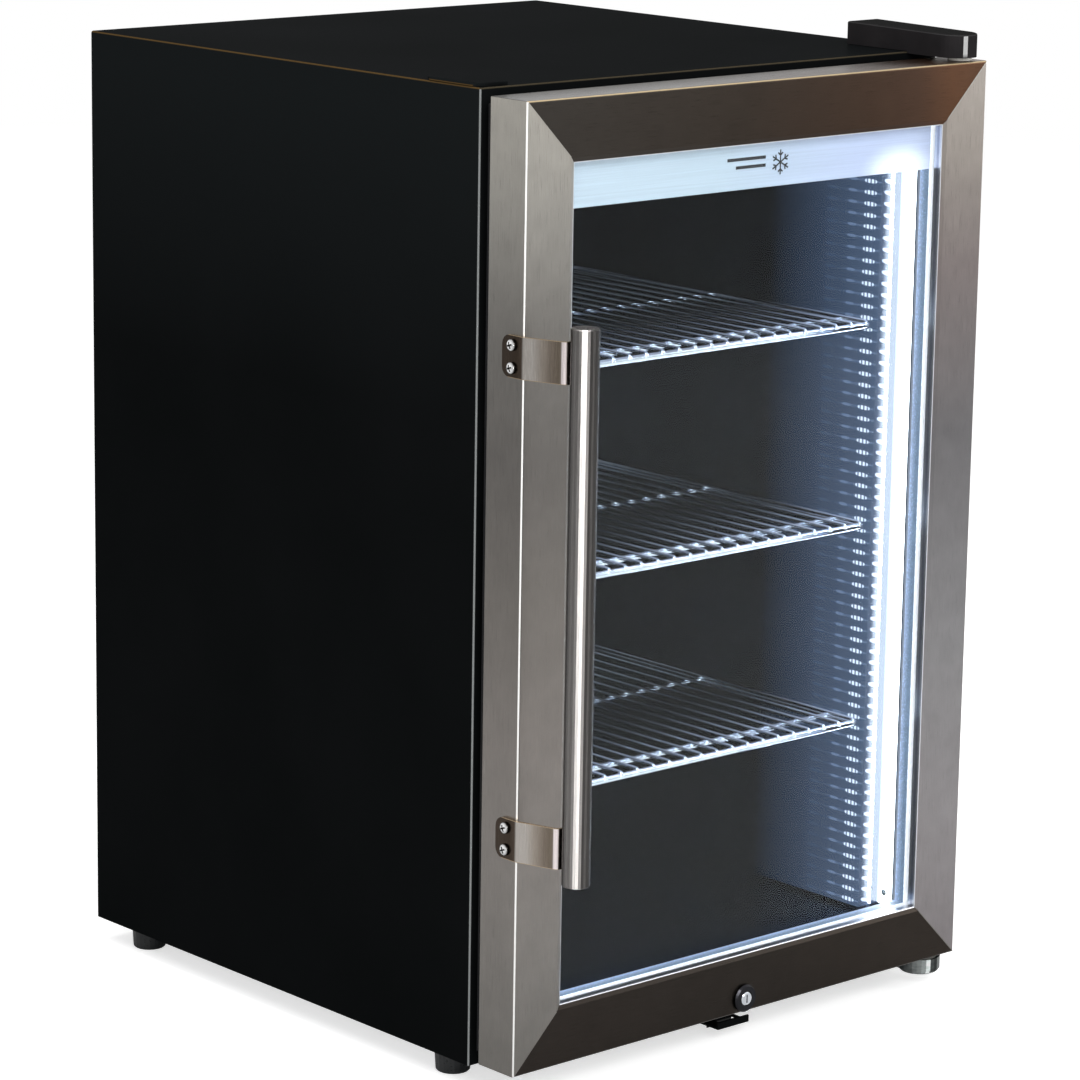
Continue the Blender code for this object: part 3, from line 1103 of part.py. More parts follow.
def make_lock(dark, silver, hinge, lock_axis):
    """Cam lock in the bottom rail: a barrel, the plug that the key turns, and the cam."""
    plug = LOCK_PLUG_RADIUS
    ring_front = FACE_Y - LOCK_RING_HEIGHT
    profile = [(plug + RUN, ring_front), (LOCK_RING_RADIUS - LOCK_RING_EDGE, ring_front),
               (LOCK_RING_RADIUS, ring_front + LOCK_RING_EDGE), (LOCK_RING_RADIUS, FACE_Y - FIT),
               (LOCK_BODY_RADIUS, FACE_Y - FIT), (LOCK_BODY_RADIUS, FACE_Y + LOCK_BODY_LENGTH),
               (plug + RUN, FACE_Y + LOCK_BODY_LENGTH)]
    centre = (LOCK_X, 0, LOCK_Z)
    solid("lock_barrel", lathe(profile, "y", centre, 28), dark, (LOCK_X, FACE_Y, LOCK_Z), hinge, 35)
    front = ring_front - RUN
    back = CAM_FRONT - FIT
    edge = 0.5 * MM
    profile = [(0, front), (plug - edge, front), (plug, front + edge), (plug, back), (0, back)]
    pin = solid("lock_plug", lathe(profile, "y", centre, 20), silver, (LOCK_X, FACE_Y, LOCK_Z), lock_axis, 35)
    key_width, key_depth, key_height = KEYHOLE
    cut(pin, box((LOCK_X - key_width / 2, front - CUT, LOCK_Z - key_height / 2),
                 (LOCK_X + key_width / 2, front + key_depth, LOCK_Z + key_height / 2)))
    half = CAM_WIDTH / 2
    arm = rounded_rectangle((LOCK_X - half, LOCK_Z - half), (LOCK_X + CAM_LENGTH, LOCK_Z + half),
                            half * 0.9, 3)
    solid("lock_cam", prism(arm, "y", CAM_FRONT, CAM_FRONT + CAM_PLATE), silver,
          (LOCK_X, CAM_FRONT, LOCK_Z), lock_axis)


# ---- assembly ---------------------------------------------------------------------------------
def main():
    clear_scene()
    black_paint = finish("black_paint", (0.006, 0.0065, 0.0065), 0.45, 0.0)
    black_plastic = finish("black_plastic", (0.012, 0.012, 0.013), 0.4, 0.0)
    liner_black = finish("liner_black", (0.014, 0.015, 0.017), 0.25, 0.0)
    galvanised = finish("galvanised", (0.42, 0.43, 0.44), 0.4, 1.0)
    brushed_steel = finish("brushed_steel", (0.50, 0.48, 0.46), 0.3, 1.0)
    polished_steel = finish("polished_steel", (0.62, 0.61, 0.60), 0.12, 1.0)
    chrome = finish("chrome", (0.75, 0.76, 0.78), 0.08, 1.0)
    zinc = finish("zinc", (0.60, 0.62, 0.64), 0.25, 1.0)
    nylon = finish("nylon", (0.85, 0.85, 0.82), 0.4, 0.0)
    foam = finish("foam", (0.75, 0.66, 0.42), 0.9, 0.0)
    glass = finish("glass", (0.9, 0.95, 0.93), 0.02, 0.0)
    aluminium = finish("aluminium", (0.75, 0.76, 0.78), 0.35, 1.0)
    header_silver = finish("header_silver", (0.60, 0.65, 0.72), 0.35, 0.0)
    rubber = finish("rubber", (0.02, 0.02, 0.022), 0.7, 0.0)
    light_white = finish("light_white", (0.9, 0.93, 1.0), 0.3, 0.0)
    copper = finish("copper", (0.72, 0.38, 0.22), 0.3, 1.0)

    door_axis = joint_empty("door_axis", (HINGE_X, HINGE_Y, DOOR_BOTTOM))
    lock_axis = joint_empty("lock_axis", (LOCK_X, FACE_Y, LOCK_Z))
    foot_y = CAB_FRONT + FOOT_INSET_Y
    left_foot_axis = joint_empty("left_foot_axis", (CAB_LEFT + FOOT_INSET_X, foot_y, 0))
    right_foot_axis = joint_empty("right_foot_axis", (CAB_RIGHT - FOOT_INSET_X, foot_y, 0))
    fan_z = EVAPORATOR_TOP - FAN_COVER_DROP - FAN_COVER[2] / 2
    fan_axis = joint_empty("fan_axis", (MID_X, LINER_BACK - FAN_COVER[1], fan_z))
    control_z = LINER_CEILING - CONTROL_BOX[2] / 2
    control_front = CAB_FRONT + CONTROL_BOX_SETBACK
    knob_axis = joint_empty("knob_axis", (MID_X - CONTROL_SPREAD, control_front, control_z))
    switch_place = (MID_X + CONTROL_SPREAD, control_front + SWITCH_DEPTH, control_z)
    switch_axis = joint_empty("switch_axis", switch_place)
    shelf_axes = [joint_empty("shelf_axis_%d" % (index + 1), (MID_X, SHELF_FRONT, shelf_top(index)))
                  for index in range(SHELF_COUNT)]

    make_outer_shell(black_paint)
    make_base_pan(galvanised)
    make_rear_panel(black_paint)
    make_inner_liner(liner_black)
    make_foam(foam)
    make_feet(black_plastic, left_foot_axis, right_foot_axis)
    make_top_hinge(black_plastic, zinc, nylon)
    make_bottom_hinge(polished_steel, nylon)
    make_strike(black_paint)
    make_shelves(chrome, shelf_axes)
    make_light_bars(light_white)
    make_evaporator_and_fan(aluminium, black_plastic, galvanised, fan_axis)
    make_controls(black_plastic, black_plastic, knob_axis, switch_axis)
    make_compressor(black_paint, galvanised, black_plastic)
    make_condenser(black_paint, black_paint, copper)
    make_cord_gland(black_plastic)
    make_door_frame(brushed_steel, door_axis)
    make_glazing(glass, aluminium, header_silver, black_plastic, rubber, door_axis)
    make_handle(polished_steel, chrome, door_axis)
    make_lock(black_plastic, chrome, door_axis, lock_axis)


main()
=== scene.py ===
"""Looks of the glass-door mini fridge: finishes, fine pieces, studio floor, lights and camera."""

import math

import bmesh
import bpy
from mathutils import Matrix, Vector


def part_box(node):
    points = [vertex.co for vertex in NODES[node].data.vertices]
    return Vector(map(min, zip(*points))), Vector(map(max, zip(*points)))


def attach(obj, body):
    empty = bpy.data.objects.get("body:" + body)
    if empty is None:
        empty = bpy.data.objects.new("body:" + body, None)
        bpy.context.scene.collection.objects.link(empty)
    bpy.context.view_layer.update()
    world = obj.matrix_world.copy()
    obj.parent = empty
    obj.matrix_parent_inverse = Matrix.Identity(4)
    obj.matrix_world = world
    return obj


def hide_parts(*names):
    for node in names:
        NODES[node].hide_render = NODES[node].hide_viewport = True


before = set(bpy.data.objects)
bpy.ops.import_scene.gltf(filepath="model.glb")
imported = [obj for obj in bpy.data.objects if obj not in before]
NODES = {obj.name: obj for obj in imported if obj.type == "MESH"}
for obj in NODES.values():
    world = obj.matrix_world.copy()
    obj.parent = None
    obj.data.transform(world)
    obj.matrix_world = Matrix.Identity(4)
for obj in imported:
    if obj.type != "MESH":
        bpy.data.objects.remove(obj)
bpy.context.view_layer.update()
MM = 0.001

# ---- places taken from the frame --------------------------------------------------------------
SHELL_LOW, SHELL_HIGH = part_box("outer_shell")
DOOR_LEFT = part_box("door_left_stile")[0].x
DOOR_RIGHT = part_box("door_right_stile")[1].x
DOOR_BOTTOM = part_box("door_bottom_rail")[0].z
DOOR_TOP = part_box("door_top_rail")[1].z
FACE_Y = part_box("door_bottom_rail")[0].y
CABINET_FRONT = SHELL_LOW.y
BAR_LOW, BAR_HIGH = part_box("light_bar_right")
LEFT_BAR_LOW, LEFT_BAR_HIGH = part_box("light_bar_left")
MIDDLE_X = (DOOR_LEFT + DOOR_RIGHT) / 2
FRAME_OPENING = 42.5 * MM         # door's edge to its opening
LINER_HALF = 175 * MM             # middle to the liner's side wall
LINER_STEP_Y = CABINET_FRONT + 13.5 * MM  # face of the step that carries the light bars
GASKET_INNER_HALF = 197 * MM      # middle to the gasket's inner lip
LIGHT_PITCH = 8.2 * MM            # from one light chip to the next
TUBE_ACROSS = (0.738, -0.674, 0)  # across the painted reflection stripes of the handle and the hinge bracket
UPWARD = (0, 0, 1)
FOLD_HIGHLIGHT_WIDTH = 0.8 * MM             # half the width of the painted highlight along a folded edge of the steel
SHELL_FOLD_HIGHLIGHT = 0.9 * MM             # the same on the powder-coated shell
MELT_DISTANCE = 0.005 * MM        # vertices closer than this are made one
SHORT_SHANK = 0.05 * MM           # how far a head alone sinks into its sheet

# ---- painted reflections, highlights and light on the steel -----------------------------------
# brushed stiles from their foot up: painted reflection, darkest a little above the middle and lightest at the
# top
RIGHT_STILE_PAINTED_REFLECTION = (
    (0.0, (0.25, 0.23, 0.235)), (0.15, (0.28, 0.265, 0.27)), (0.36, (0.25, 0.245, 0.25)),
    (0.60, (0.165, 0.160, 0.165)), (0.78, (0.225, 0.195, 0.19)), (0.90, (0.30, 0.27, 0.245)),
    (1.0, (0.33, 0.30, 0.27)))
LEFT_STILE_PAINTED_REFLECTION = (
    (0.0, (0.21, 0.20, 0.185)), (0.13, (0.235, 0.22, 0.205)), (0.34, (0.235, 0.215, 0.20)),
    (0.49, (0.20, 0.185, 0.17)), (0.64, (0.17, 0.16, 0.15)), (0.78, (0.22, 0.21, 0.195)),
    (0.90, (0.36, 0.345, 0.315)), (1.0, (0.42, 0.40, 0.36)))
# brushed rails from left to right: dark painted reflection, on the top rail warmer towards the right
TOP_RAIL_PAINTED_REFLECTION = (
    (0.0, (0.046, 0.041, 0.036)), (0.45, (0.036, 0.028, 0.022)), (0.72, (0.045, 0.027, 0.018)),
    (0.84, (0.056, 0.031, 0.020)), (0.92, (0.090, 0.043, 0.023)), (1.0, (0.078, 0.039, 0.022)))
BOTTOM_RAIL_PAINTED_REFLECTION = ((0.0, (0.034, 0.028, 0.024)), (0.5, (0.031, 0.026, 0.022)), (1.0, (0.033, 0.026, 0.021)))
# painted light of the bars on the frame's inner return, from its front edge back to the pane
PAINTED_RETURN_LIGHT = (
    (0.0, (0.72, 0.74, 0.80)), (0.30, (0.86, 0.88, 0.92)), (0.42, (0.50, 0.52, 0.62)),
    (0.55, (0.50, 0.52, 0.62)), (0.68, (0.84, 0.87, 0.92)), (1.0, (0.80, 0.83, 0.90)))
# round the handle's tube, painted reflection: grey levels by how far the surface faces TUBE_ACROSS
TUBE_PAINTED_REFLECTION = (
    (0.0, 0.04), (0.06, 0.06), (0.14, 0.20), (0.20, 0.16), (0.30, 0.15), (0.40, 0.42), (0.46, 0.95),
    (0.54, 0.90), (0.62, 0.34), (0.69, 0.05), (0.80, 0.11), (0.88, 0.05), (1.0, 0.02))
# round the bottom hinge bracket, painted reflection and highlight: grey levels in the same way
HINGE_PAINTED_REFLECTION = (
    (0.0, 0.16), (0.18, 0.30), (0.30, 0.12), (0.42, 0.34), (0.55, 0.22), (0.63, 0.55), (0.67, 1.0),
    (0.76, 1.0), (0.79, 0.08), (0.88, 0.03), (0.95, 0.20), (1.0, 0.05))
# the handle's bracket plates, painted reflection, shade and highlight, from their front edge back to the
# flange
BRACKET_PAINTED_REFLECTION = (
    (0.0, (0.24, 0.20, 0.18)), (0.02, (0.80, 0.72, 0.72)), (0.055, (0.78, 0.70, 0.70)),
    (0.07, (0.20, 0.165, 0.135)), (0.10, (0.165, 0.135, 0.105)), (0.20, (0.20, 0.165, 0.135)),
    (0.33, (0.32, 0.28, 0.24)), (0.46, (0.44, 0.41, 0.38)), (0.59, (0.44, 0.41, 0.38)),
    (0.625, (0.075, 0.055, 0.042)), (0.72, (0.050, 0.036, 0.026)), (1.0, (0.060, 0.046, 0.036)))


# ---- finishes ---------------------------------------------------------------------------------
class Finish:
    """A node material built up step by step."""

    def __init__(self, name, colour, roughness, metallic=0.0, gloss=None):
        self.material = bpy.data.materials.new(name)
        self.material.use_nodes = True
        self.tree = self.material.node_tree
        self.shader = self.tree.nodes["Principled BSDF"]
        self.shader.inputs["Base Color"].default_value = (*colour, 1)
        self.shader.inputs["Roughness"].default_value = roughness
        self.shader.inputs["Metallic"].default_value = metallic
        if gloss is not None:
            self.shader.inputs["Specular IOR Level"].default_value = gloss
        self.place = self.tree.nodes.new("ShaderNodeTexCoord").outputs["Object"]

    def link(self, source, target):
        self.tree.links.new(source, target)

    def maths(self, operation, first, second=0.0, third=None, clamp=False):
        node = self.tree.nodes.new("ShaderNodeMath")
        node.operation = operation
        node.use_clamp = clamp
        values = [first, second] if third is None else [first, second, third]
        for socket, value in zip(node.inputs, values):
            if isinstance(value, (int, float)):
                socket.default_value = value
            else:
                self.link(value, socket)
        return node.outputs[0]

    def axis(self, letter):
        node = self.tree.nodes.new("ShaderNodeSeparateXYZ")
        self.link(self.place, node.inputs[0])
        return node.outputs[letter]

    def noise(self, scale, detail=3.0, stretch=(1, 1, 1)):
        mapping = self.tree.nodes.new("ShaderNodeMapping")
        mapping.inputs["Scale"].default_value = stretch
        self.link(self.place, mapping.inputs["Vector"])
        node = self.tree.nodes.new("ShaderNodeTexNoise")
        node.inputs["Scale"].default_value = scale
        node.inputs["Detail"].default_value = detail
        self.link(mapping.outputs[0], node.inputs["Vector"])
        return node.outputs["Fac"]

    def spread(self, source, low, high, source_low=0.3, source_high=0.7):
        node = self.tree.nodes.new("ShaderNodeMapRange")
        node.inputs["From Min"].default_value = source_low
        node.inputs["From Max"].default_value = source_high
        node.inputs["To Min"].default_value = low
        node.inputs["To Max"].default_value = high
        self.link(source, node.inputs["Value"])
        return node.outputs[0]

    def mix(self, share, first, second):
        node = self.tree.nodes.new("ShaderNodeMix")
        node.data_type = "RGBA"
        if isinstance(share, (int, float)):
            node.inputs[0].default_value = share
        else:
            self.link(share, node.inputs[0])
        for socket, colour in ((node.inputs[6], first), (node.inputs[7], second)):
            if isinstance(colour, tuple):
                socket.default_value = (*colour, 1)
            else:
                self.link(colour, socket)
        return node.outputs[2]

    def colour(self, source):
        self.link(source, self.shader.inputs["Base Color"])
        return self

    def rough(self, source, low, high):
        self.link(self.spread(source, low, high), self.shader.inputs["Roughness"])
        return self

    def bump(self, source, depth, strength=1.0):
        node = self.tree.nodes.new("ShaderNodeBump")
        node.inputs["Distance"].default_value = depth
        node.inputs["Strength"].default_value = strength
        self.link(source, node.inputs["Height"])
        self.link(node.outputs[0], self.shader.inputs["Normal"])
        return self

    def ramp(self, source, stops, low=0.0, high=1.0):
        """Colour along a value, from (place, colour) stops between the low and high values."""
        node = self.tree.nodes.new("ShaderNodeValToRGB")
        self.link(self.spread(source, 0, 1, low, high), node.inputs[0])
        marks = node.color_ramp.elements
        while len(marks) < len(stops):
            marks.new(1.0)
        for mark, (place, colour) in zip(marks, stops):
            mark.position = place
            mark.color = (*colour, 1) if isinstance(colour, tuple) else (colour, colour, colour, 1)
        return node.outputs[0]

    def tint(self, first, second):
        """Multiply two colours."""
        node = self.tree.nodes.new("ShaderNodeMix")
        node.data_type = "RGBA"
        node.blend_type = "MULTIPLY"
        node.inputs[0].default_value = 1.0
        for socket, source in ((node.inputs[6], first), (node.inputs[7], second)):
            self.link(source, socket)
        return node.outputs[2]

    def mottled(self, source, dark, light):
        """Base colour that wanders between two tones with a noise."""
        return self.colour(self.mix(self.spread(source, 0, 1), dark, light))

    def glow(self, colour, strength):
        """Emission: colour and strength are each a constant or a socket."""
        socket = self.shader.inputs["Emission Color"]
        if isinstance(colour, tuple):
            socket.default_value = (*colour, 1)
        else:
            self.link(colour, socket)
        socket = self.shader.inputs["Emission Strength"]
        if isinstance(strength, (int, float)):
            socket.default_value = strength
        else:
            self.link(strength, socket)

    def off_middle(self):
        """Distance to either side of the object's middle."""
        return self.maths("ABSOLUTE", self.maths("SUBTRACT", self.axis("X"), MIDDLE_X))

    def facing(self, direction):
        """How far the surface faces a fixed direction of the object, from -1 to 1."""
        geometry = self.tree.nodes.new("ShaderNodeNewGeometry")
        node = self.tree.nodes.new("ShaderNodeVectorMath")
        node.operation = "DOT_PRODUCT"
        self.link(geometry.outputs["Normal"], node.inputs[0])
        node.inputs[1].default_value = Vector(direction).normalized()
        return node.outputs["Value"]

    def near(self, value, target, reach, soft=0.3 * MM):
        """1 where value is within reach of target, falling to 0 over the soft distance."""
        away = self.maths("ABSOLUTE", self.maths("SUBTRACT", value, target))
        over = self.maths("SUBTRACT", away, reach)
        return self.maths("SUBTRACT", 1.0, self.maths("DIVIDE", over, soft, clamp=True), clamp=True)

    def both(self, first, second):
        return self.maths("MULTIPLY", first, second)

    def either(self, first, second):
        return self.maths("MAXIMUM", first, second)


def powder_coat():
    """Black powder coat: fine orange peel, a painted sheen high on the sides, and painted highlights along
    its folded edges.
    """
    made = Finish("powder_coat_black", (0.0048, 0.0053, 0.0055), 0.48, gloss=0.0002)
    cloud = made.noise(6, 4)
    base = made.mix(made.spread(cloud, 0, 1), (0.0042, 0.0048, 0.005), (0.0056, 0.0062, 0.0066))
    x, y, z = made.axis("X"), made.axis("Y"), made.axis("Z")
    # painted sheen: lighter high up on the side faces
    sideways = made.maths("ABSOLUTE", made.facing((1, 0, 0)))
    sheen_foot = SHELL_HIGH.z - 220 * MM
    sheen_head = SHELL_HIGH.z - 20 * MM
    sheen = made.both(sideways, made.spread(z, 0, 1, sheen_foot, sheen_head))
    base = made.mix(sheen, base, (0.0095, 0.0112, 0.0118))
    # painted highlights along the folded edges: grey down the front, brown-gold along the tops of the sides,
    # dark brown along the front top
    at_left = made.near(x, SHELL_LOW.x, SHELL_FOLD_HIGHLIGHT)
    at_right = made.near(x, SHELL_HIGH.x, SHELL_FOLD_HIGHLIGHT)
    at_side = made.either(at_left, at_right)
    at_front = made.near(y, SHELL_LOW.y, SHELL_FOLD_HIGHLIGHT)
    at_top = made.near(z, SHELL_HIGH.z, SHELL_FOLD_HIGHLIGHT)
    fold_highlights = ((at_side, at_front, (0.22, 0.23, 0.23)),
             (at_side, at_top, (0.075, 0.046, 0.018)),
             (at_front, at_top, (0.045, 0.037, 0.024)))
    for first, second, tone in fold_highlights:
        base = made.mix(made.both(first, second), base, tone)
    made.colour(base)
    made.rough(made.noise(900, 2), 0.42, 0.55)
    made.bump(made.noise(700, 2), 0.02 * MM, 0.6)
    return made.material


def moulded_black(name, colour, low, high, gloss=0.3):
    """Moulded plastic with a fine spark-eroded grain."""
    made = Finish(name, colour, low, gloss=gloss)
    darker = tuple(0.85 * part for part in colour)
    lighter = tuple(1.15 * part for part in colour)
    made.mottled(made.noise(40, 3), darker, lighter)
    made.rough(made.noise(600, 3), low, high)
    made.bump(made.noise(1500, 2), 0.015 * MM, 0.5)
    return made.material


def hinge_cover_plastic():
    """Satin black cover: painted light on its upper edges, a painted highlight down its rounded end, and
    painted shade on its top face.
    """
    made = Finish("hinge_cover_plastic", (0.020, 0.019, 0.020), 0.3, gloss=0.0001)
    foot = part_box("hinge_cover")[0].z
    # painted highlight down the rounded end
    streak = made.both(made.spread(made.facing((-0.35, -0.94, 0)), 0, 1, 0.990, 0.997),
                       made.spread(made.axis("Z"), 0, 1, foot, foot + 3 * MM))
    upness = made.facing(UPWARD)
    # painted light along the upper edges
    rim = made.near(upness, 0.6, 0.25, 0.05)
    tone = made.mix(made.spread(made.noise(40, 3), 0, 1), (0.016, 0.015, 0.016), (0.024, 0.022, 0.023))
    tone = made.mix(made.both(rim, 0.5), tone, (0.05, 0.05, 0.05))
    # painted shade: the top face darker
    painted_top_shade = made.spread(upness, 0, 1, 0.9, 0.99)
    tone = made.mix(painted_top_shade, tone, (0.006, 0.006, 0.006))
    made.colour(made.mix(streak, tone, (0.42, 0.42, 0.42)))
    made.rough(made.noise(600, 3), 0.25, 0.36)
    made.bump(made.noise(1500, 2), 0.01 * MM, 0.4)
    return made.material


def brushed_steel(name, along, stops, fold_highlight):
    """Brushed stainless steel: fine streaks along the grain, painted reflection tones along its length,
    painted highlights on its folded edges, and painted light of the bars on its inner return.
    """
    made = Finish(name, fold_highlight, 0.3, 1.0)
    x, y, z = made.axis("X"), made.axis("Y"), made.axis("Z")
    if along == "Z":
        run, low, high, stretch = z, DOOR_BOTTOM, DOOR_TOP, (1, 1, 0.015)
        across, edges, width = x, (DOOR_LEFT, DOOR_RIGHT), FOLD_HIGHLIGHT_WIDTH
    else:
        run, low, high, stretch = x, DOOR_LEFT, DOOR_RIGHT, (0.015, 1, 1)
        across, edges, width = z, (DOOR_BOTTOM, DOOR_TOP), 0.7 * MM
    streak = made.noise(3600, 2, stretch)
    cloud = made.noise(60, 5)
    tone = made.maths("ADD", made.spread(streak, -0.07, 0.07), made.spread(cloud, 0.95, 1.05))
    # painted reflection tones along the member
    base = made.tint(made.ramp(run, stops, low, high), tone)
    # painted highlight along the folded outer edges of the door
    at_edge = made.either(made.near(across, edges[0], width), made.near(across, edges[1], width))
    bend = made.both(at_edge, made.near(y, FACE_Y, FOLD_HIGHLIGHT_WIDTH))
    base = made.mix(bend, base, fold_highlight)
    # painted light of the bars on the inner return faces
    inner = made.either(made.near(across, edges[0] + FRAME_OPENING, 0.4 * MM),
                        made.near(across, edges[1] - FRAME_OPENING, 0.4 * MM))
    lines = made.ramp(y, PAINTED_RETURN_LIGHT, FACE_Y, FACE_Y + 9 * MM)
    made.colour(made.mix(inner, base, lines))
    made.rough(streak, 0.26, 0.38)
    made.bump(streak, 0.008 * MM, 0.3)
    made.shader.inputs["Anisotropic"].default_value = 0.3
    return made.material


def satin_tube():
    """Satin tube, ground lengthwise: fine lines run down it, and long stripes of painted reflection, light
    and dark, run down its sides.
    """
    made = Finish("satin_tube", (0.5, 0.48, 0.46), 0.25, 1.0)
    across = made.facing(TUBE_ACROSS)
    warm = [(place, (tone, tone * 0.95, tone * 0.92)) for place, tone in TUBE_PAINTED_REFLECTION]
    lines = made.noise(2600, 3, (1, 1, 0.02))
    made.colour(made.tint(made.ramp(across, warm, -1, 1), made.spread(lines, 0.88, 1.12)))
    made.rough(lines, 0.2, 0.32)
    made.bump(lines, 0.006 * MM, 0.3)
    return made.material


def hinge_bracket_steel():
    """Bright-dipped bracket: a painted reflection round its rounded end runs from dark through a hard painted
    highlight to dark.
    """
    made = Finish("hinge_bracket_steel", (0.5, 0.52, 0.52), 0.2, 1.0)
    cool = [(place, (tone * 0.92, tone, tone * 0.98)) for place, tone in HINGE_PAINTED_REFLECTION]
    across = made.ramp(made.facing(TUBE_ACROSS), cool, -1, 1)
    smear = made.noise(160, 3, (1, 1, 3))
    made.colour(made.tint(across, made.spread(smear, 0.75, 1.2)))
    made.rough(smear, 0.1, 0.25)
    made.bump(smear, 0.02 * MM, 0.3)
    return made.material


def bracket_plate():
    """Satin plate of the handle: painted reflection dark on the flange, a painted highlight on the fold,
    painted shade across the leaning plate, and painted highlights along its top and bottom edges.
    """
    made = Finish("bracket_plate", (0.4, 0.37, 0.34), 0.25, 1.0)
    low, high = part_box("handle_bracket_upper")
    shade = made.ramp(made.axis("Y"), BRACKET_PAINTED_REFLECTION, low.y, high.y)
    z = made.axis("Z")
    # painted highlights along the plates' top and bottom edges
    edge = 0.0
    for name in ("handle_bracket_upper", "handle_bracket_lower"):
        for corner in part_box(name):
            edge = made.either(edge, made.near(z, corner.z, 0.25 * MM, 0.2 * MM))
    shade = made.mix(edge, shade, (0.45, 0.34, 0.22))
    lines = made.noise(2600, 3, (1, 1, 0.03))
    made.colour(made.tint(shade, made.spread(lines, 0.9, 1.1)))
    made.rough(lines, 0.18, 0.3)
    made.bump(lines, 0.006 * MM, 0.3)
    return made.material


def plated(name, colour, low, high):
    """Bright plating over a slightly uneven surface."""
    made = Finish(name, colour, low, 1.0)
    cloud = made.noise(120, 3)
    made.mottled(cloud, tuple(0.8 * part for part in colour), colour)
    made.rough(cloud, low, high)
    made.bump(cloud, 0.02 * MM, 0.3)
    return made.material


def shelf_chrome():
    """Bright chrome on the shelf wires, with a painted glow along their tops at the front and near the light
    bars, standing in for the bars' light.
    """
    made = Finish("shelf_chrome", (0.80, 0.83, 0.88), 0.1, 1.0)
    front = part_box("wire_shelf_1")[0].y
    cloud = made.noise(120, 3)
    made.mottled(cloud, (0.64, 0.68, 0.76), (0.82, 0.85, 0.90))
    made.rough(cloud, 0.06, 0.14)
    made.bump(cloud, 0.02 * MM, 0.3)
    # painted light: a glow along the wire tops, strongest at the front and near the bars
    near_front = made.maths("POWER", made.spread(made.axis("Y"), 1, 0, front, front + 120 * MM), 2.0)
    near_bar = made.spread(made.off_middle(), 0.55, 1.0, 0, LINER_HALF)
    upper = made.spread(made.facing((-0.25, -0.2, 0.95)), 0, 1, 0.55, 0.98)
    painted_wire_light = made.both(made.both(near_front, near_bar), upper)
    made.glow((0.62, 0.72, 1.0), made.maths("MULTIPLY", painted_wire_light, 0.75))
    return made.material


def galvanised():
    """Hot-dip zinc with its spangle."""
    made = Finish("galvanised_sheet", (0.5, 0.51, 0.52), 0.4, 1.0)
    cells = made.tree.nodes.new("ShaderNodeTexVoronoi")
    cells.inputs["Scale"].default_value = 140
    made.link(made.place, cells.inputs["Vector"])
    grey = made.tree.nodes.new("ShaderNodeRGBToBW")
    made.link(cells.outputs["Color"], grey.inputs[0])
    made.colour(made.mix(grey.outputs[0], (0.36, 0.37, 0.39), (0.58, 0.59, 0.6)))
    made.rough(grey.outputs[0], 0.42, 0.48)
    made.bump(made.noise(300, 2), 0.004 * MM, 0.2)
    return made.material


def clear_glass():
    """Clear pane with a weak reflection, so that the lit inside shows through it."""
    made = Finish("clear_glass", (0.93, 0.96, 0.97), 0.0, gloss=0.06)
    made.shader.inputs["Transmission Weight"].default_value = 1.0
    made.shader.inputs["IOR"].default_value = 1.12
    made.rough(made.noise(14, 5), 0.0, 0.012)
    return made.material


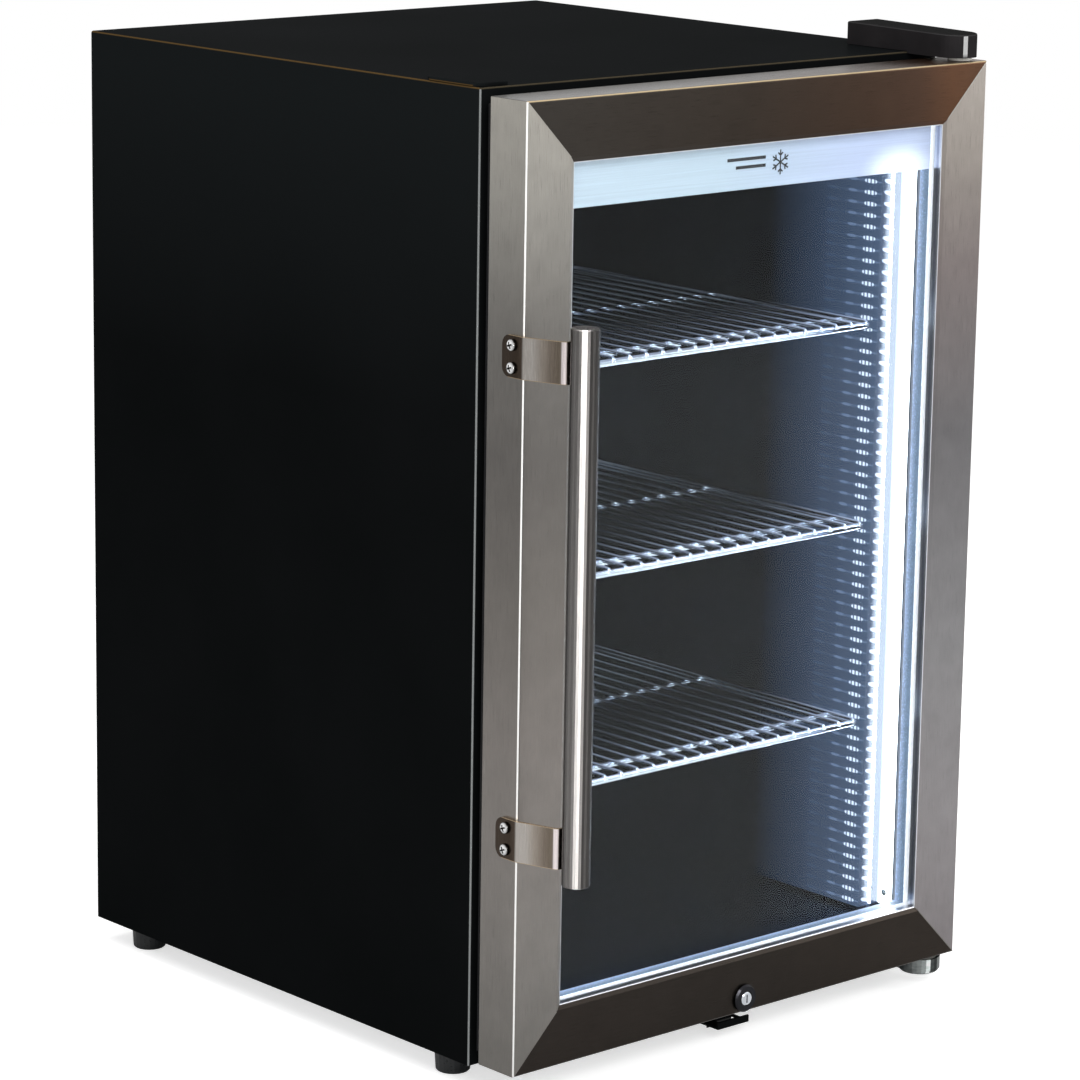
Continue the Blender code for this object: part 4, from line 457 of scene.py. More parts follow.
def liner_black():
    """Gloss black liner: its walls carry rows of painted glowing patches that stand in for the light thrown
    by the light chips.
    """
    made = Finish("liner_gloss_black", (0.006, 0.008, 0.013), 0.14, gloss=0.45)
    made.mottled(made.noise(30, 3), (0.005, 0.007, 0.012), (0.010, 0.013, 0.020))
    made.rough(made.noise(500, 2), 0.1, 0.2)
    made.bump(made.noise(300, 2), 0.01 * MM, 0.2)

    y, z = made.axis("Y"), made.axis("Z")
    side = made.off_middle()
    on_wall = made.near(side, LINER_HALF, 0.4 * MM)
    on_step = made.near(y, LINER_STEP_Y, 0.4 * MM)
    in_height = made.near(z, (BAR_LOW.z + BAR_HIGH.z) / 2, (BAR_HIGH.z - BAR_LOW.z) / 2)

    def painted_light_column(along, centre, half_height, half_length, slant=0.0):
        """A column of painted light patches, one for each light chip, at one distance along the wall."""
        off = made.maths("SUBTRACT", along, centre)
        shifted = made.maths("MULTIPLY_ADD", off, slant, z)
        phase = made.maths("FRACT", made.maths("DIVIDE", shifted, LIGHT_PITCH))
        up = made.maths("MULTIPLY", made.maths("SUBTRACT", phase, 0.5), LIGHT_PITCH / half_height)
        side_on = made.maths("DIVIDE", off, half_length)
        side_on = made.both(side_on, side_on)
        reach = made.maths("ADD", made.both(up, up), made.both(side_on, side_on))
        return made.maths("SUBTRACT", 1.6, reach, clamp=True)

    # painted light on the step beside the bar
    painted_step_patch = made.both(on_step, painted_light_column(side, LINER_HALF + 8.5 * MM, 1.5 * MM, 5.5 * MM, 0.25))
    painted_bar_edge_light = made.both(on_step, made.near(side, LINER_HALF + 22 * MM, 1.5 * MM, 1.2 * MM))
    # painted light on the side wall, each column fainter than the one in front of it
    lobes = made.maths("SINE", made.maths("MULTIPLY", y, math.tau / (3.6 * MM)))
    lobes = made.spread(lobes, 0.25, 1.0, -1, 0.4)
    second = made.both(painted_light_column(y, LINER_STEP_Y + 10.5 * MM, 1.5 * MM, 6 * MM), lobes)
    third = made.both(painted_light_column(y, LINER_STEP_Y + 28 * MM, 1.1 * MM, 4.5 * MM), 0.26)
    fourth = made.both(painted_light_column(y, LINER_STEP_Y + 48 * MM, 1.2 * MM, 6 * MM), 0.12)
    trail = painted_light_column(y, LINER_STEP_Y + 30 * MM, 0.9 * MM, 34 * MM)
    trail = made.both(trail, made.spread(y, 0.28, 0.0, LINER_STEP_Y, LINER_STEP_Y + 64 * MM))
    wall = made.either(made.either(second, trail), made.either(third, fourth))
    # the painted soft light between them
    wall_haze = made.both(on_wall, made.spread(y, 0.14, 0.0, LINER_STEP_Y, LINER_STEP_Y + 110 * MM))
    step_haze = made.both(on_step, made.spread(side, 0.10, 0.16, LINER_HALF, LINER_HALF + 14 * MM))
    haze = made.either(wall_haze, step_haze)

    # all of it painted light, glowing though the liner is no lamp
    light = made.either(made.either(painted_step_patch, haze), made.either(made.both(on_wall, wall), painted_bar_edge_light))
    light = made.both(light, in_height)
    made.glow(made.mix(light, (0.30, 0.52, 1.0), (0.80, 0.88, 1.0)), made.maths("MULTIPLY", light, 1.25))
    return made.material


def light_bar_white():
    """Milky cover of a light bar, lit from inside."""
    colour = (0.86, 0.92, 1.0)
    made = Finish("light_bar_white", colour, 0.4)
    made.glow(colour, 14)
    grain = made.noise(400, 2)
    made.bump(grain, 0.02 * MM, 0.3)
    made.rough(grain, 0.35, 0.45)
    return made.material


def header_silver():
    """Silvered strip behind the glass, with a painted glow near the right-hand light bar and a faint one all
    over, standing in for light from behind.
    """
    made = Finish("header_silver", (0.50, 0.60, 0.70), 0.35, 0.0, gloss=0.1)
    x, z = made.axis("X"), made.axis("Z")
    low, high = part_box("header_panel")
    lines = made.noise(900, 2, (0.01, 1, 1))
    stops = ((0.0, (0.47, 0.56, 0.64)), (0.4, (0.44, 0.53, 0.61)), (0.8, (0.44, 0.50, 0.68)),
             (1.0, (0.46, 0.52, 0.70)))
    wide = made.ramp(x, stops, low.x, high.x)
    made.colour(made.tint(wide, made.spread(lines, 0.94, 1.06)))
    # painted glow near the right-hand light bar, over a faint painted glow all along the strip
    across = made.maths("DIVIDE", made.maths("SUBTRACT", x, high.x - 30 * MM), 44 * MM)
    up = made.maths("DIVIDE", made.maths("SUBTRACT", z, low.z), 24 * MM)
    squares = made.maths("ADD", made.both(across, across), made.both(up, up))
    painted_back_glow = made.maths("POWER", made.maths("SUBTRACT", 1.0, squares, clamp=True), 2.4)
    made.glow((0.88, 0.92, 1.0), made.maths("MULTIPLY_ADD", painted_back_glow, 0.95, 0.05))
    made.rough(lines, 0.3, 0.45)
    return made.material


def spacer_metal():
    """Extruded spacer with fine specks of noise for its breathing holes; its colour and a painted glow with
    painted sparkles stand in for the light of the bars.
    """
    made = Finish("spacer_aluminium", (0.60, 0.68, 0.80), 0.3, 0.0, gloss=0.2)
    low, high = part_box("glass_spacer")
    # painted light of the bars: bright at the front edge, then dark blue turning lighter towards the back
    stops = ((0.0, (0.86, 0.88, 0.92)), (0.06, (0.86, 0.88, 0.92)), (0.10, (0.06, 0.11, 0.19)),
             (0.40, (0.08, 0.14, 0.23)), (0.7, (0.19, 0.27, 0.42)), (1.0, (0.33, 0.41, 0.60)))
    depth = made.ramp(made.axis("Y"), stops, low.y, high.y)
    grain = made.noise(1100, 1)
    painted_sparkle = made.spread(grain, 0.75, 2.2, 0.5, 0.72)
    made.glow(made.tint(depth, painted_sparkle), 0.75)
    made.colour(made.mix(0.5, depth, (0.35, 0.40, 0.48)))
    made.rough(grain, 0.25, 0.4)
    made.bump(grain, 0.02 * MM, 0.5)
    return made.material


def screw_chrome(axis_letter, sign, floor):
    """Bright screw head: painted shade towards its rim, and dark painted shade down in its cross recess."""
    made = Finish("screw_chrome", (0.8, 0.78, 0.74), 0.12, 1.0)
    direction = {"X": (sign, 0, 0), "Y": (0, sign, 0)}[axis_letter]
    stops = ((0.0, 0.03), (0.45, 0.10), (0.8, 0.42), (0.97, 0.85), (1.0, 0.92))
    shade = made.ramp(made.facing(direction), stops)
    painted_recess_shade = made.near(made.axis(axis_letter), floor, 0.2 * MM, 0.1 * MM)
    speck = made.noise(500, 2)
    made.colour(made.mix(painted_recess_shade, shade, (0.05, 0.045, 0.04)))
    made.rough(speck, 0.08, 0.2)
    made.bump(speck, 0.01 * MM, 0.3)
    return made.material


def rubber():
    """Ribbed gasket: a painted glow on its inner lips stands in for the light of the bars."""
    made = Finish("gasket_rubber", (0.010, 0.010, 0.011), 0.6, gloss=0.15)
    rib_pitch = 2.4 * MM
    ribs = made.maths("SINE", made.maths("MULTIPLY", made.axis("Y"), math.tau / rib_pitch))
    # painted light of the bars on the inner lip
    inner = made.near(made.off_middle(), GASKET_INNER_HALF, 0.8 * MM)
    made.glow((0.62, 0.70, 0.92), made.maths("MULTIPLY", inner, 0.3))
    made.bump(ribs, 0.12 * MM, 0.5)
    made.rough(made.noise(700, 2), 0.5, 0.7)
    return made.material


def embossed_aluminium():
    """Roll-bonded cold plate: rounded channels stand proud of the sheet."""
    made = Finish("embossed_aluminium", (0.30, 0.32, 0.35), 0.4, 1.0)
    channel_pitch = 26 * MM
    wave = made.maths("SINE", made.maths("MULTIPLY", made.axis("Z"), math.tau / channel_pitch))
    made.bump(made.spread(wave, 0, 1, 0.2, 0.9), 1.2 * MM, 0.7)
    made.rough(made.noise(200, 3), 0.35, 0.5)
    return made.material


def foam_finish():
    """Blown foam with its open cells."""
    made = Finish("rigid_foam", (0.72, 0.62, 0.38), 0.9)
    cells = made.noise(500, 4)
    made.mottled(cells, (0.60, 0.50, 0.28), (0.78, 0.69, 0.45))
    made.bump(cells, 0.3 * MM, 0.5)
    return made.material


def nylon_white():
    """White nylon, slightly uneven."""
    made = Finish("nylon_white", (0.82, 0.81, 0.76), 0.4)
    tone = made.noise(300, 2)
    made.mottled(tone, (0.74, 0.73, 0.67), (0.86, 0.85, 0.81))
    made.rough(tone, 0.35, 0.5)
    return made.material


def ink_black():
    """Printed black."""
    made = Finish("printed_black", (0.008, 0.009, 0.012), 0.5)
    made.rough(made.noise(500, 2), 0.45, 0.6)
    return made.material


def finish_nodes():
    """Give every carried-over piece its finish, and hand back those that new pieces use too."""
    inside_plastic = moulded_black("inside_plastic", (0.014, 0.016, 0.020), 0.3, 0.42)
    foot = moulded_black("foot_plastic", (0.012, 0.013, 0.014), 0.25, 0.4, gloss=0.4)
    enamel = moulded_black("black_enamel", (0.012, 0.012, 0.013), 0.25, 0.38)
    # each steel member: its table of painted reflection tones, then the colour of the painted highlight on
    # its folds
    left_stile = brushed_steel("brushed_left_stile", "Z", LEFT_STILE_PAINTED_REFLECTION, (0.93, 0.92, 0.90))
    right_stile = brushed_steel("brushed_right_stile", "Z", RIGHT_STILE_PAINTED_REFLECTION, (0.85, 0.82, 0.80))
    top_rail = brushed_steel("brushed_top_rail", "X", TOP_RAIL_PAINTED_REFLECTION, (0.55, 0.43, 0.26))
    bottom_rail = brushed_steel("brushed_bottom_rail", "X", BOTTOM_RAIL_PAINTED_REFLECTION, (0.16, 0.15, 0.14))
    zinc = plated("zinc_plate", (0.60, 0.60, 0.56), 0.2, 0.35)
    chrome = plated("bright_chrome", (0.80, 0.83, 0.88), 0.06, 0.14)
    ring = plated("dark_chrome", (0.030, 0.030, 0.034), 0.12, 0.25)
    copper = plated("copper_pipe", (0.68, 0.34, 0.20), 0.25, 0.4)
    shelf = shelf_chrome()
    white = nylon_white()
    finishes = {
        powder_coat(): ["outer_shell", "rear_panel", "lock_strike", "hinge_hole_plug"],
        hinge_cover_plastic(): ["hinge_cover"],
        inside_plastic: ["fan_cover", "fan_rotor", "control_box", "thermostat_knob", "light_switch",
                         "door_inner_frame", "terminal_cover", "melt_water_tray", "cord_gland"],
        foot: ["front_foot_left", "front_foot_right", "rear_foot_left", "rear_foot_right"],
        enamel: ["compressor", "condenser_coil", "condenser_plate_left", "condenser_plate_right"],
        left_stile: ["door_left_stile"],
        right_stile: ["door_right_stile"],
        top_rail: ["door_top_rail"],
        bottom_rail: ["door_bottom_rail"],
        satin_tube(): ["handle_bar"],
        bracket_plate(): ["handle_bracket_lower", "handle_bracket_upper"],
        hinge_bracket_steel(): ["bottom_hinge_bracket", "bottom_hinge_pin"],
        zinc: ["top_hinge_plate", "top_hinge_pin"],
        chrome: ["lock_plug"] + ["handle_screw_%d" % number for number in range(1, 5)],
        shelf: ["wire_shelf_1", "wire_shelf_2", "wire_shelf_3"],
        ring: ["lock_barrel", "lock_cam"],
        copper: ["filter_drier", "suction_pipe"],
        galvanised(): ["base_pan", "compressor_mount", "fan_motor"],
        white: ["top_hinge_washer", "bottom_hinge_washer"],
        rubber(): ["door_gasket"],
        clear_glass(): ["outer_glass", "inner_glass"],
        spacer_metal(): ["glass_spacer"],
        header_silver(): ["header_panel"],
        embossed_aluminium(): ["evaporator_plate"],
        foam_finish(): ["insulation_foam"],
        liner_black(): ["inner_liner"],
        light_bar_white(): ["light_bar_left", "light_bar_right"],
    }
    for material, names in finishes.items():
        for name in names:
            for slot in NODES[name].material_slots:
                slot.material = material
    return {"shelf": shelf, "zinc": zinc, "stile": left_stile, "enamel": enamel, "white": white,
            "ink": ink_black()}


# ---- modelling --------------------------------------------------------------------------------
def make_piece(name, bm, material, body, smooth_deg=None, replaces=()):
    """Turn a bmesh into a named piece that rides on a body."""
    bmesh.ops.remove_doubles(bm, verts=bm.verts, dist=MELT_DISTANCE)
    bmesh.ops.recalc_face_normals(bm, faces=bm.faces)
    mesh = bpy.data.meshes.new(name)
    bm.to_mesh(mesh)
    bm.free()
    mesh.materials.append(material)
    piece = bpy.data.objects.new(name, mesh)
    bpy.context.scene.collection.objects.link(piece)
    if smooth_deg is not None:
        mesh.shade_smooth()
        mesh.set_sharp_from_angle(angle=math.radians(smooth_deg))
    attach(piece, body)
    if replaces:
        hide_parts(*replaces)
    return piece


def turn_to(direction):
    """Rotation that takes +Z to the given direction."""
    return Vector((0, 0, 1)).rotation_difference(Vector(direction)).to_matrix().to_4x4()


def edges_of(verts):
    """Each edge at these vertices once, in a fixed order."""
    return list(dict.fromkeys(edge for vert in verts for edge in vert.link_edges))


def add_wire(bm, start, end, radius, sides=10):
    """A straight round wire between two points."""
    start, end = Vector(start), Vector(end)
    place = Matrix.Translation((start + end) / 2) @ turn_to(end - start)
    bmesh.ops.create_cone(bm, cap_ends=True, segments=sides, radius1=radius, radius2=radius,
                          depth=(end - start).length, matrix=place)


def add_bent_wire(bm, start, forward, straight, down, bend, drop, radius, sides=10):
    """A wire that runs forward, turns down on an arc and ends with a short drop."""
    start, forward, down = Vector(start), Vector(forward), Vector(down)
    ring = bmesh.ops.create_circle(bm, cap_ends=True, segments=sides, radius=radius,
                                   matrix=Matrix.Translation(start) @ turn_to(forward))
    edges = edges_of(ring["verts"])

    def pull(edges, step):
        grown = bmesh.ops.extrude_edge_only(bm, edges=edges)["geom"]
        verts = [item for item in grown if isinstance(item, bmesh.types.BMVert)]
        bmesh.ops.translate(bm, verts=verts, vec=step)
        return [edge for edge in grown if isinstance(edge, bmesh.types.BMEdge)
                and all(vert in verts for vert in edge.verts)]

    edges = pull(edges, forward * straight)
    centre = start + forward * straight + down * bend
    turned = bmesh.ops.spin(bm, geom=edges, cent=centre, axis=forward.cross(down), angle=math.pi / 2,
                            steps=5)["geom_last"]
    edges = [item for item in turned if isinstance(item, bmesh.types.BMEdge)]
    edges = pull(edges, down * drop)
    bmesh.ops.contextual_create(bm, geom=edges)


def add_block(bm, low, high, turn=None, bevel=0.0):
    """A block between two corners, turned about its own middle and bevelled if asked."""
    size = Vector(high) - Vector(low)
    middle = (Vector(high) + Vector(low)) / 2
    place = Matrix.Translation(middle)
    if turn is not None:
        place = place @ turn
    made = bmesh.ops.create_cube(bm, size=1.0, matrix=place @ Matrix.Diagonal((*size, 1)))
    if bevel:
        bmesh.ops.bevel(bm, geom=edges_of(made["verts"]), offset=bevel, segments=2, profile=0.5,
                        affect="EDGES", material=-1)


def wire_shelf(number, material):
    """Welded chrome shelf: round wires over cross rails, two of them close together at the front."""
    node = "wire_shelf_%d" % number
    low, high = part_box(node)
    wire = 1.5 * MM                # radius of a wire
    rail = 2.3 * MM                # radius of a rail
    front_rail = rail * 1.1
    bend = 1.8 * MM
    drop = 0.8 * MM                # straight end below a wire's bend
    side_margin = 4 * MM
    end_margin = MM
    second_rail_back = 27 * MM
    gaps = 22
    top = high.z - wire
    under = top - wire - rail * 0.8
    left = low.x + side_margin
    step = (high.x - low.x - 2 * side_margin) / gaps
    front = low.y + rail
    back = high.y - rail
    bm = bmesh.new()
    for index in range(gaps + 1):
        start = (left + step * index, back, top)
        add_bent_wire(bm, start, (0, -1, 0), back - front, (0, 0, -1), bend, drop, wire)
    rails = ((front, front_rail), (front + second_rail_back, rail), ((front + back) / 2, rail), (back, rail))
    for y, size in rails:
        add_wire(bm, (low.x + end_margin, y, under), (high.x - end_margin, y, under), size, 14)
    for x in (low.x + rail, high.x - rail):
        add_wire(bm, (x, front, under), (x, back, under), rail, 14)
    make_piece("shelf_wires_%d" % number, bm, material, "shelf_%d" % number, 40, (node,))


def condenser_wires(material):
    """Thin wires welded across both sides of the condenser pipe."""
    plates = [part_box("condenser_plate_left"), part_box("condenser_plate_right")]
    low, high = plates[0]
    coil_low, coil_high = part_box("condenser_coil")
    wire = 0.8 * MM
    pipe = 2.5 * MM                # radius of the coil's pipe
    end_margin = 3 * MM
    side_margin = 45 * MM
    plate_clearance = 3 * MM
    count = 32
    middle_y = (low.y + high.y) / 2 + 0.5 * MM
    left = coil_low.x + side_margin
    right = coil_high.x - side_margin
    bm = bmesh.new()
    for index in range(count):
        x = left + (right - left) * index / (count - 1)
        if min(abs(x - plate[0].x) for plate in plates) < plate_clearance:
            continue
        for side in (-1, 1):
            y = middle_y + side * (pipe + wire)
            add_wire(bm, (x, y, low.z + end_margin), (x, y, high.z - end_margin), wire, 6)
    make_piece("condenser_cross_wires", bm, material, "cabinet", 40)


def carve(target_bm, cutter_bm, name):
    """Boolean difference of two bmeshes, as a new bmesh."""
    made = []
    for label, source in (("target", target_bm), ("cutter", cutter_bm)):
        bmesh.ops.recalc_face_normals(source, faces=source.faces)
        mesh = bpy.data.meshes.new(name + "_" + label)
        source.to_mesh(mesh)
        source.free()
        made.append(bpy.data.objects.new(name + "_" + label, mesh))
        bpy.context.scene.collection.objects.link(made[-1])
    target, cutter = made
    modifier = target.modifiers.new("carve", "BOOLEAN")
    modifier.object = cutter
    modifier.solver = "EXACT"
    result = bpy.data.meshes.new_from_object(target.evaluated_get(bpy.context.evaluated_depsgraph_get()))
    bm = bmesh.new()
    bm.from_mesh(result)
    for item in made:
        bpy.data.objects.remove(item, do_unlink=True)
    return bm


def spun(points, centre, direction, segments=32):
    """Turn (radius, height) points about the direction; heights are along it."""
    bm = bmesh.new()
    verts = [bm.verts.new((radius, 0, height)) for radius, height in points]
    edges = [bm.edges.new(pair) for pair in zip(verts, verts[1:])]
    bmesh.ops.spin(bm, geom=verts + edges, cent=(0, 0, 0), axis=(0, 0, 1), angle=math.tau,
                   steps=segments, use_merge=True)
    bmesh.ops.remove_doubles(bm, verts=bm.verts, dist=MELT_DISTANCE)
    bmesh.ops.transform(bm, matrix=Matrix.Translation(centre) @ turn_to(direction), verts=bm.verts)
    return bm


def dome(radius, height, steps=6):
    """Profile of a pan head, from its rim up to its middle."""
    points = [(radius, 0), (radius, height * 0.35)]
    for step in range(1, steps + 1):
        angle = math.pi / 2 * step / steps
        points.append((radius * math.cos(angle), height * (0.35 + 0.65 * math.sin(angle))))
    return points


def cross_screw(name, centre, direction, radius, height, shank, material, body, replaces=()):
    """Pan-head screw with a cross recess cut into its head."""
    neck = radius * 0.5
    arm = radius * 0.58            # length of the recess's arms
    half = radius * 0.14           # half their width
    recess_floor = height * 0.45
    profile = [(0, -shank), (neck, -shank), (neck, 0)] + dome(radius, height)
    head = spun(profile, centre, direction, 28)
    cutter = bmesh.new()
    outline = []
    for quarter in range(4):
        turn = Matrix.Rotation(math.pi / 2 * quarter, 4, "Z")
        outline += [turn @ Vector(point) for point in ((half, half, 0), (half, arm, 0), (-half, arm, 0))]
    face = cutter.faces.new([cutter.verts.new(point) for point in outline])
    grown = bmesh.ops.extrude_face_region(cutter, geom=[face])["geom"]
    top = [item for item in grown if isinstance(item, bmesh.types.BMVert)]
    bmesh.ops.translate(cutter, verts=top, vec=(0, 0, height))
    place = (Matrix.Translation(centre) @ turn_to(direction) @ Matrix.Rotation(math.radians(20), 4, "Z")
             @ Matrix.Translation((0, 0, recess_floor)))
    bmesh.ops.transform(cutter, matrix=place, verts=cutter.verts)
    make_piece(name, carve(head, cutter, name), material, body, 35, replaces)


def handle_screws():
    """The four screws of the handle's brackets, in place of the plain ones."""
    height = 2.5 * MM
    radius = 4 * MM
    material = screw_chrome("X", -1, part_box("handle_screw_1")[0].x + height * 0.55)
    for number in range(1, 5):
        node = "handle_screw_%d" % number
        low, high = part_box(node)
        middle = (low + high) / 2
        shank = high.x - low.x - height
        centre = (low.x + height, middle.y, middle.z)
        cross_screw("cross_screw_%d" % number, centre, (-1, 0, 0), radius, height, shank, material, "door",
                    (node,))


def rear_screws(material):
    """Screws down both sides of the back panel, and one at the top middle."""
    low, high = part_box("rear_panel")
    face = high.y + 0.1 * MM
    inset = 12 * MM
    top = high.z - inset
    bottom = high.z - 500 * MM
    sides = (top, (high.z + bottom) / 2, bottom)
    columns = ((low.x + inset, sides), (MIDDLE_X, (top,)), (high.x - inset, sides))
    places = [(x, face, z) for x, heights in columns for z in heights]
    for number, place in enumerate(places, 1):
        cross_screw("rear_screw_%d" % number, place, (0, 1, 0), 3.5 * MM, 2 * MM, SHORT_SHANK, material,
                    "cabinet")


def mitre_seams(material):
    """Fine welded seams along the four mitres of the door's frame."""
    bm = bmesh.new()
    flat = 39 * MM                 # width of the frame's flat face
    end_gap = 0.8 * MM
    proud = 0.12 * MM
    for x, side_x in ((DOOR_LEFT, 1), (DOOR_RIGHT, -1)):
        for z, side_z in ((DOOR_BOTTOM, 1), (DOOR_TOP, -1)):
            centre = Vector((x + side_x * flat / 2, FACE_Y + proud, z + side_z * flat / 2))
            turn = Matrix.Rotation(math.radians(45) * -side_x * side_z, 4, "Y")
            half = Vector((flat * math.sqrt(2) / 2 - end_gap, 0.2 * MM, 0.3 * MM))
            add_block(bm, centre - half, centre + half, turn)
    make_piece("mitre_seams", bm, material, "door")


def header_emblem(material):
    """A plain snow crystal and two lines, printed on the header strip."""
    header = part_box("header_panel")[0]
    front = header.y - 0.12 * MM
    back = header.y - 0.03 * MM
    size = 8.5 * MM                # length of the crystal's arms
    branch_start = size * 0.55
    branch_length = size * 0.34
    branch_lean = 50
    half_stroke = 0.55 * MM
    half_line = 1.1 * MM
    line_end = 14 * MM             # from the crystal's middle to the lines
    arms = ((0, size, 0), (branch_start, branch_length, branch_lean),
            (branch_start, branch_length, -branch_lean))
    centre = Vector((MIDDLE_X + 24 * MM, 0, header.z + 16 * MM))
    bm = bmesh.new()
    for arm in range(6):
        turn = Matrix.Rotation(math.tau * arm / 6, 4, "Y")
        for start, length, lean in arms:
            stroke = bmesh.new()
            add_block(stroke, (-half_stroke, front, 0), (half_stroke, back, length))
            place = (Matrix.Translation(centre) @ turn @ Matrix.Translation((0, 0, start))
                     @ Matrix.Rotation(math.radians(lean), 4, "Y"))
            bmesh.ops.transform(stroke, matrix=place, verts=stroke.verts)
            mesh = bpy.data.meshes.new("stroke")
            stroke.to_mesh(mesh)
            stroke.free()
            bm.from_mesh(mesh)
            bpy.data.meshes.remove(mesh)
    for height, start in ((4.5 * MM, 50 * MM), (-1 * MM, 42 * MM)):
        z = centre.z + height
        add_block(bm, (centre.x - start, front, z - half_line), (centre.x - line_end, back, z + half_line))
    make_piece("header_emblem", bm, material, "door")


def strike_lip(material):
    """Folded lip under the strike, behind the slot that the cam drops through."""
    low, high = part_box("lock_strike")
    cam_low, cam_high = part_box("lock_cam")
    back = cam_high.y + 3.5 * MM
    thickness = 0.8 * MM
    bm = bmesh.new()
    add_block(bm, (cam_low.x - 6 * MM, back, low.z - 4 * MM),
              (high.x - MM, back + thickness, low.z + 0.5 * MM), bevel=0.3 * MM)
    make_piece("strike_lip", bm, material, "cabinet")


def light_bar_screws(material):
    """A small screw at each end of each light bar."""
    inset = 9 * MM
    bars = (("left", 1, LEFT_BAR_LOW, LEFT_BAR_HIGH), ("right", -1, BAR_LOW, BAR_HIGH))
    for name, side, low, high in bars:
        face = high.x if side > 0 else low.x
        for end, z in (("bottom", low.z + inset), ("top", high.z - inset)):
            centre = (face, (low.y + high.y) / 2, z)
            cross_screw("light_bar_screw_%s_%s" % (name, end), centre, (side, 0, 0), 2.6 * MM, 1.4 * MM,
                        SHORT_SHANK, material, "cabinet")


def knob_pointer(material):
    """Pointer line on the thermostat's knob."""
    low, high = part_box("thermostat_knob")
    middle = (low + high) / 2
    half_line = 0.6 * MM
    bm = bmesh.new()
    add_block(bm, (middle.x - half_line, low.y - 0.25 * MM, middle.z + MM),
              (middle.x + half_line, low.y + 0.1 * MM, high.z - 3.2 * MM))
    make_piece("knob_pointer", bm, material, "knob")


# ---- studio -----------------------------------------------------------------------------------
def seen_by(tree, *rays):
    """1 for the named kinds of ray, 0 for the rest."""
    path = tree.nodes.new("ShaderNodeLightPath")
    seen = path.outputs[rays[0]]
    for ray in rays[1:]:
        node = tree.nodes.new("ShaderNodeMath")
        node.operation = "MAXIMUM"
        tree.links.new(seen, node.inputs[0])
        tree.links.new(path.outputs[ray], node.inputs[1])
        seen = node.outputs[0]
    return seen


def scaled(tree, source, factor, offset):
    """source * factor + offset."""
    node = tree.nodes.new("ShaderNodeMath")
    node.operation = "MULTIPLY_ADD"
    node.inputs[1].default_value = factor
    node.inputs[2].default_value = offset
    tree.links.new(source, node.inputs[0])
    return node.outputs[0]


def studio():
    """Pale floor under a plain white world."""
    scene = bpy.context.scene
    scene.view_settings.view_transform = "Standard"
    floor_radius = 5.0
    under_feet = Matrix.Translation((0, 0, -0.2 * MM))
    bm = bmesh.new()
    bmesh.ops.create_circle(bm, cap_ends=True, segments=96, radius=floor_radius, matrix=under_feet)
    mesh = bpy.data.meshes.new("studio_floor")
    bm.to_mesh(mesh)
    bm.free()
    floor = bpy.data.objects.new("studio_floor", mesh)
    scene.collection.objects.link(floor)
    paint = bpy.data.materials.new("studio_floor")
    paint.use_nodes = True
    tree = paint.node_tree
    shader = tree.nodes["Principled BSDF"]
    shader.inputs["Base Color"].default_value = (0.78, 0.78, 0.78, 1)
    shader.inputs["Roughness"].default_value = 0.9
    shader.inputs["Specular IOR Level"].default_value = 0.0
    shader.inputs["Emission Color"].default_value = (1, 1, 1, 1)
    seen = seen_by(tree, "Is Camera Ray", "Is Transmission Ray")
    tree.links.new(scaled(tree, seen, 0.62, 0.0), shader.inputs["Emission Strength"])
    mesh.materials.append(paint)

    world = bpy.data.worlds.new("studio_world")
    world.use_nodes = True
    scene.world = world
    tree = world.node_tree
    background = tree.nodes["Background"]
    background.inputs["Color"].default_value = (1, 1, 1, 1)
    seen = seen_by(tree, "Is Camera Ray", "Is Glossy Ray", "Is Transmission Ray")
    diffuse_level = 0.45
    tree.links.new(scaled(tree, seen, 1 - diffuse_level, diffuse_level), background.inputs["Strength"])


def area_light(name, place, target, width, height, power, colour=(1, 1, 1)):
    """A soft lamp at one point, aimed at another; power in watts."""
    light = bpy.data.lights.new(name, "AREA")
    light.shape = "RECTANGLE"
    light.size = width
    light.size_y = height
    light.energy = power
    light.color = colour
    lamp = bpy.data.objects.new(name, light)
    lamp.location = place
    lamp.rotation_euler = (Vector(target) - Vector(place)).to_track_quat("-Z", "Y").to_euler()
    bpy.context.scene.collection.objects.link(lamp)
    return lamp


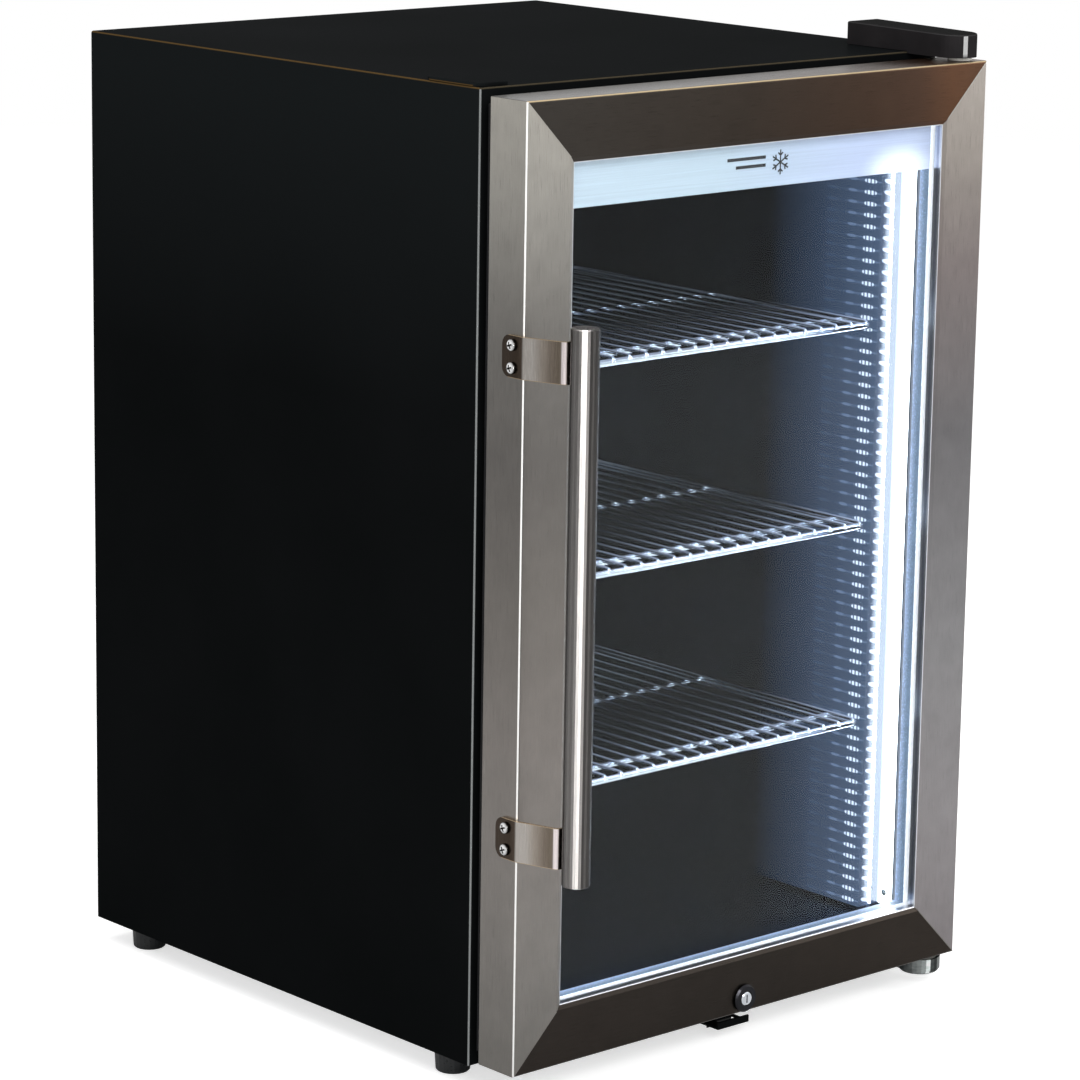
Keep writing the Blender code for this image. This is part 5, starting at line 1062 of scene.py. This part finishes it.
def lights():
    """Studio softboxes, and a narrow lamp along each light bar inside."""
    middle = (0, 0, 0.35)
    area_light("key_softbox", (-1.2, -2.6, 1.9), middle, 1.2, 1.2, 45)
    area_light("front_strip", (-2.1, -1.9, 0.55), middle, 0.12, 1.1, 14)
    area_light("side_softbox", (2.4, -1.6, 1.2), middle, 1.0, 1.4, 25)
    area_light("top_softbox", (0, 0.2, 2.4), middle, 1.6, 1.6, 30)
    strip_height = BAR_HIGH.z - BAR_LOW.z
    for name, bar_x, side in (("inside_left", LEFT_BAR_HIGH.x, 1), ("inside_right", BAR_LOW.x, -1)):
        place = Vector((bar_x + side * 6 * MM, BAR_HIGH.y + 4 * MM, (BAR_LOW.z + BAR_HIGH.z) / 2))
        target = place + Vector((side * 300 * MM, 90 * MM, 0))
        lamp = area_light(name, place, target, 10 * MM, strip_height, 4.0, (0.80, 0.88, 1.0))
        lamp.visible_camera = False
        lamp.visible_transmission = False


CAMERA_PLACE = (-1.99578764, -2.23599, 0.99392463)  # metres
CAMERA_YAW = 0.7297492618         # radians, turned right from facing the back
CAMERA_PITCH = 0.2205993592       # radians, tipped down
CAMERA_ROLL = 0.0158778303        # radians
CAMERA_LENS = 141.45              # millimetres
SENSOR_WIDTH = 36                 # millimetres


def camera():
    """The main view."""
    data = bpy.data.cameras.new("camera")
    data.lens = CAMERA_LENS
    data.sensor_width = SENSOR_WIDTH
    made = bpy.data.objects.new("camera", data)
    bpy.context.scene.collection.objects.link(made)
    made.matrix_world = (Matrix.Translation(CAMERA_PLACE) @ Matrix.Rotation(-CAMERA_YAW, 4, "Z")
                         @ Matrix.Rotation(math.pi / 2 - CAMERA_PITCH, 4, "X")
                         @ Matrix.Rotation(CAMERA_ROLL, 4, "Z"))
    bpy.context.scene.camera = made


camera()
materials = finish_nodes()
for shelf_number in range(1, 4):
    wire_shelf(shelf_number, materials["shelf"])
condenser_wires(materials["enamel"])
handle_screws()
rear_screws(materials["zinc"])
light_bar_screws(materials["zinc"])
mitre_seams(materials["stile"])
header_emblem(materials["ink"])
strike_lip(materials["enamel"])
knob_pointer(materials["white"])
studio()
lights()
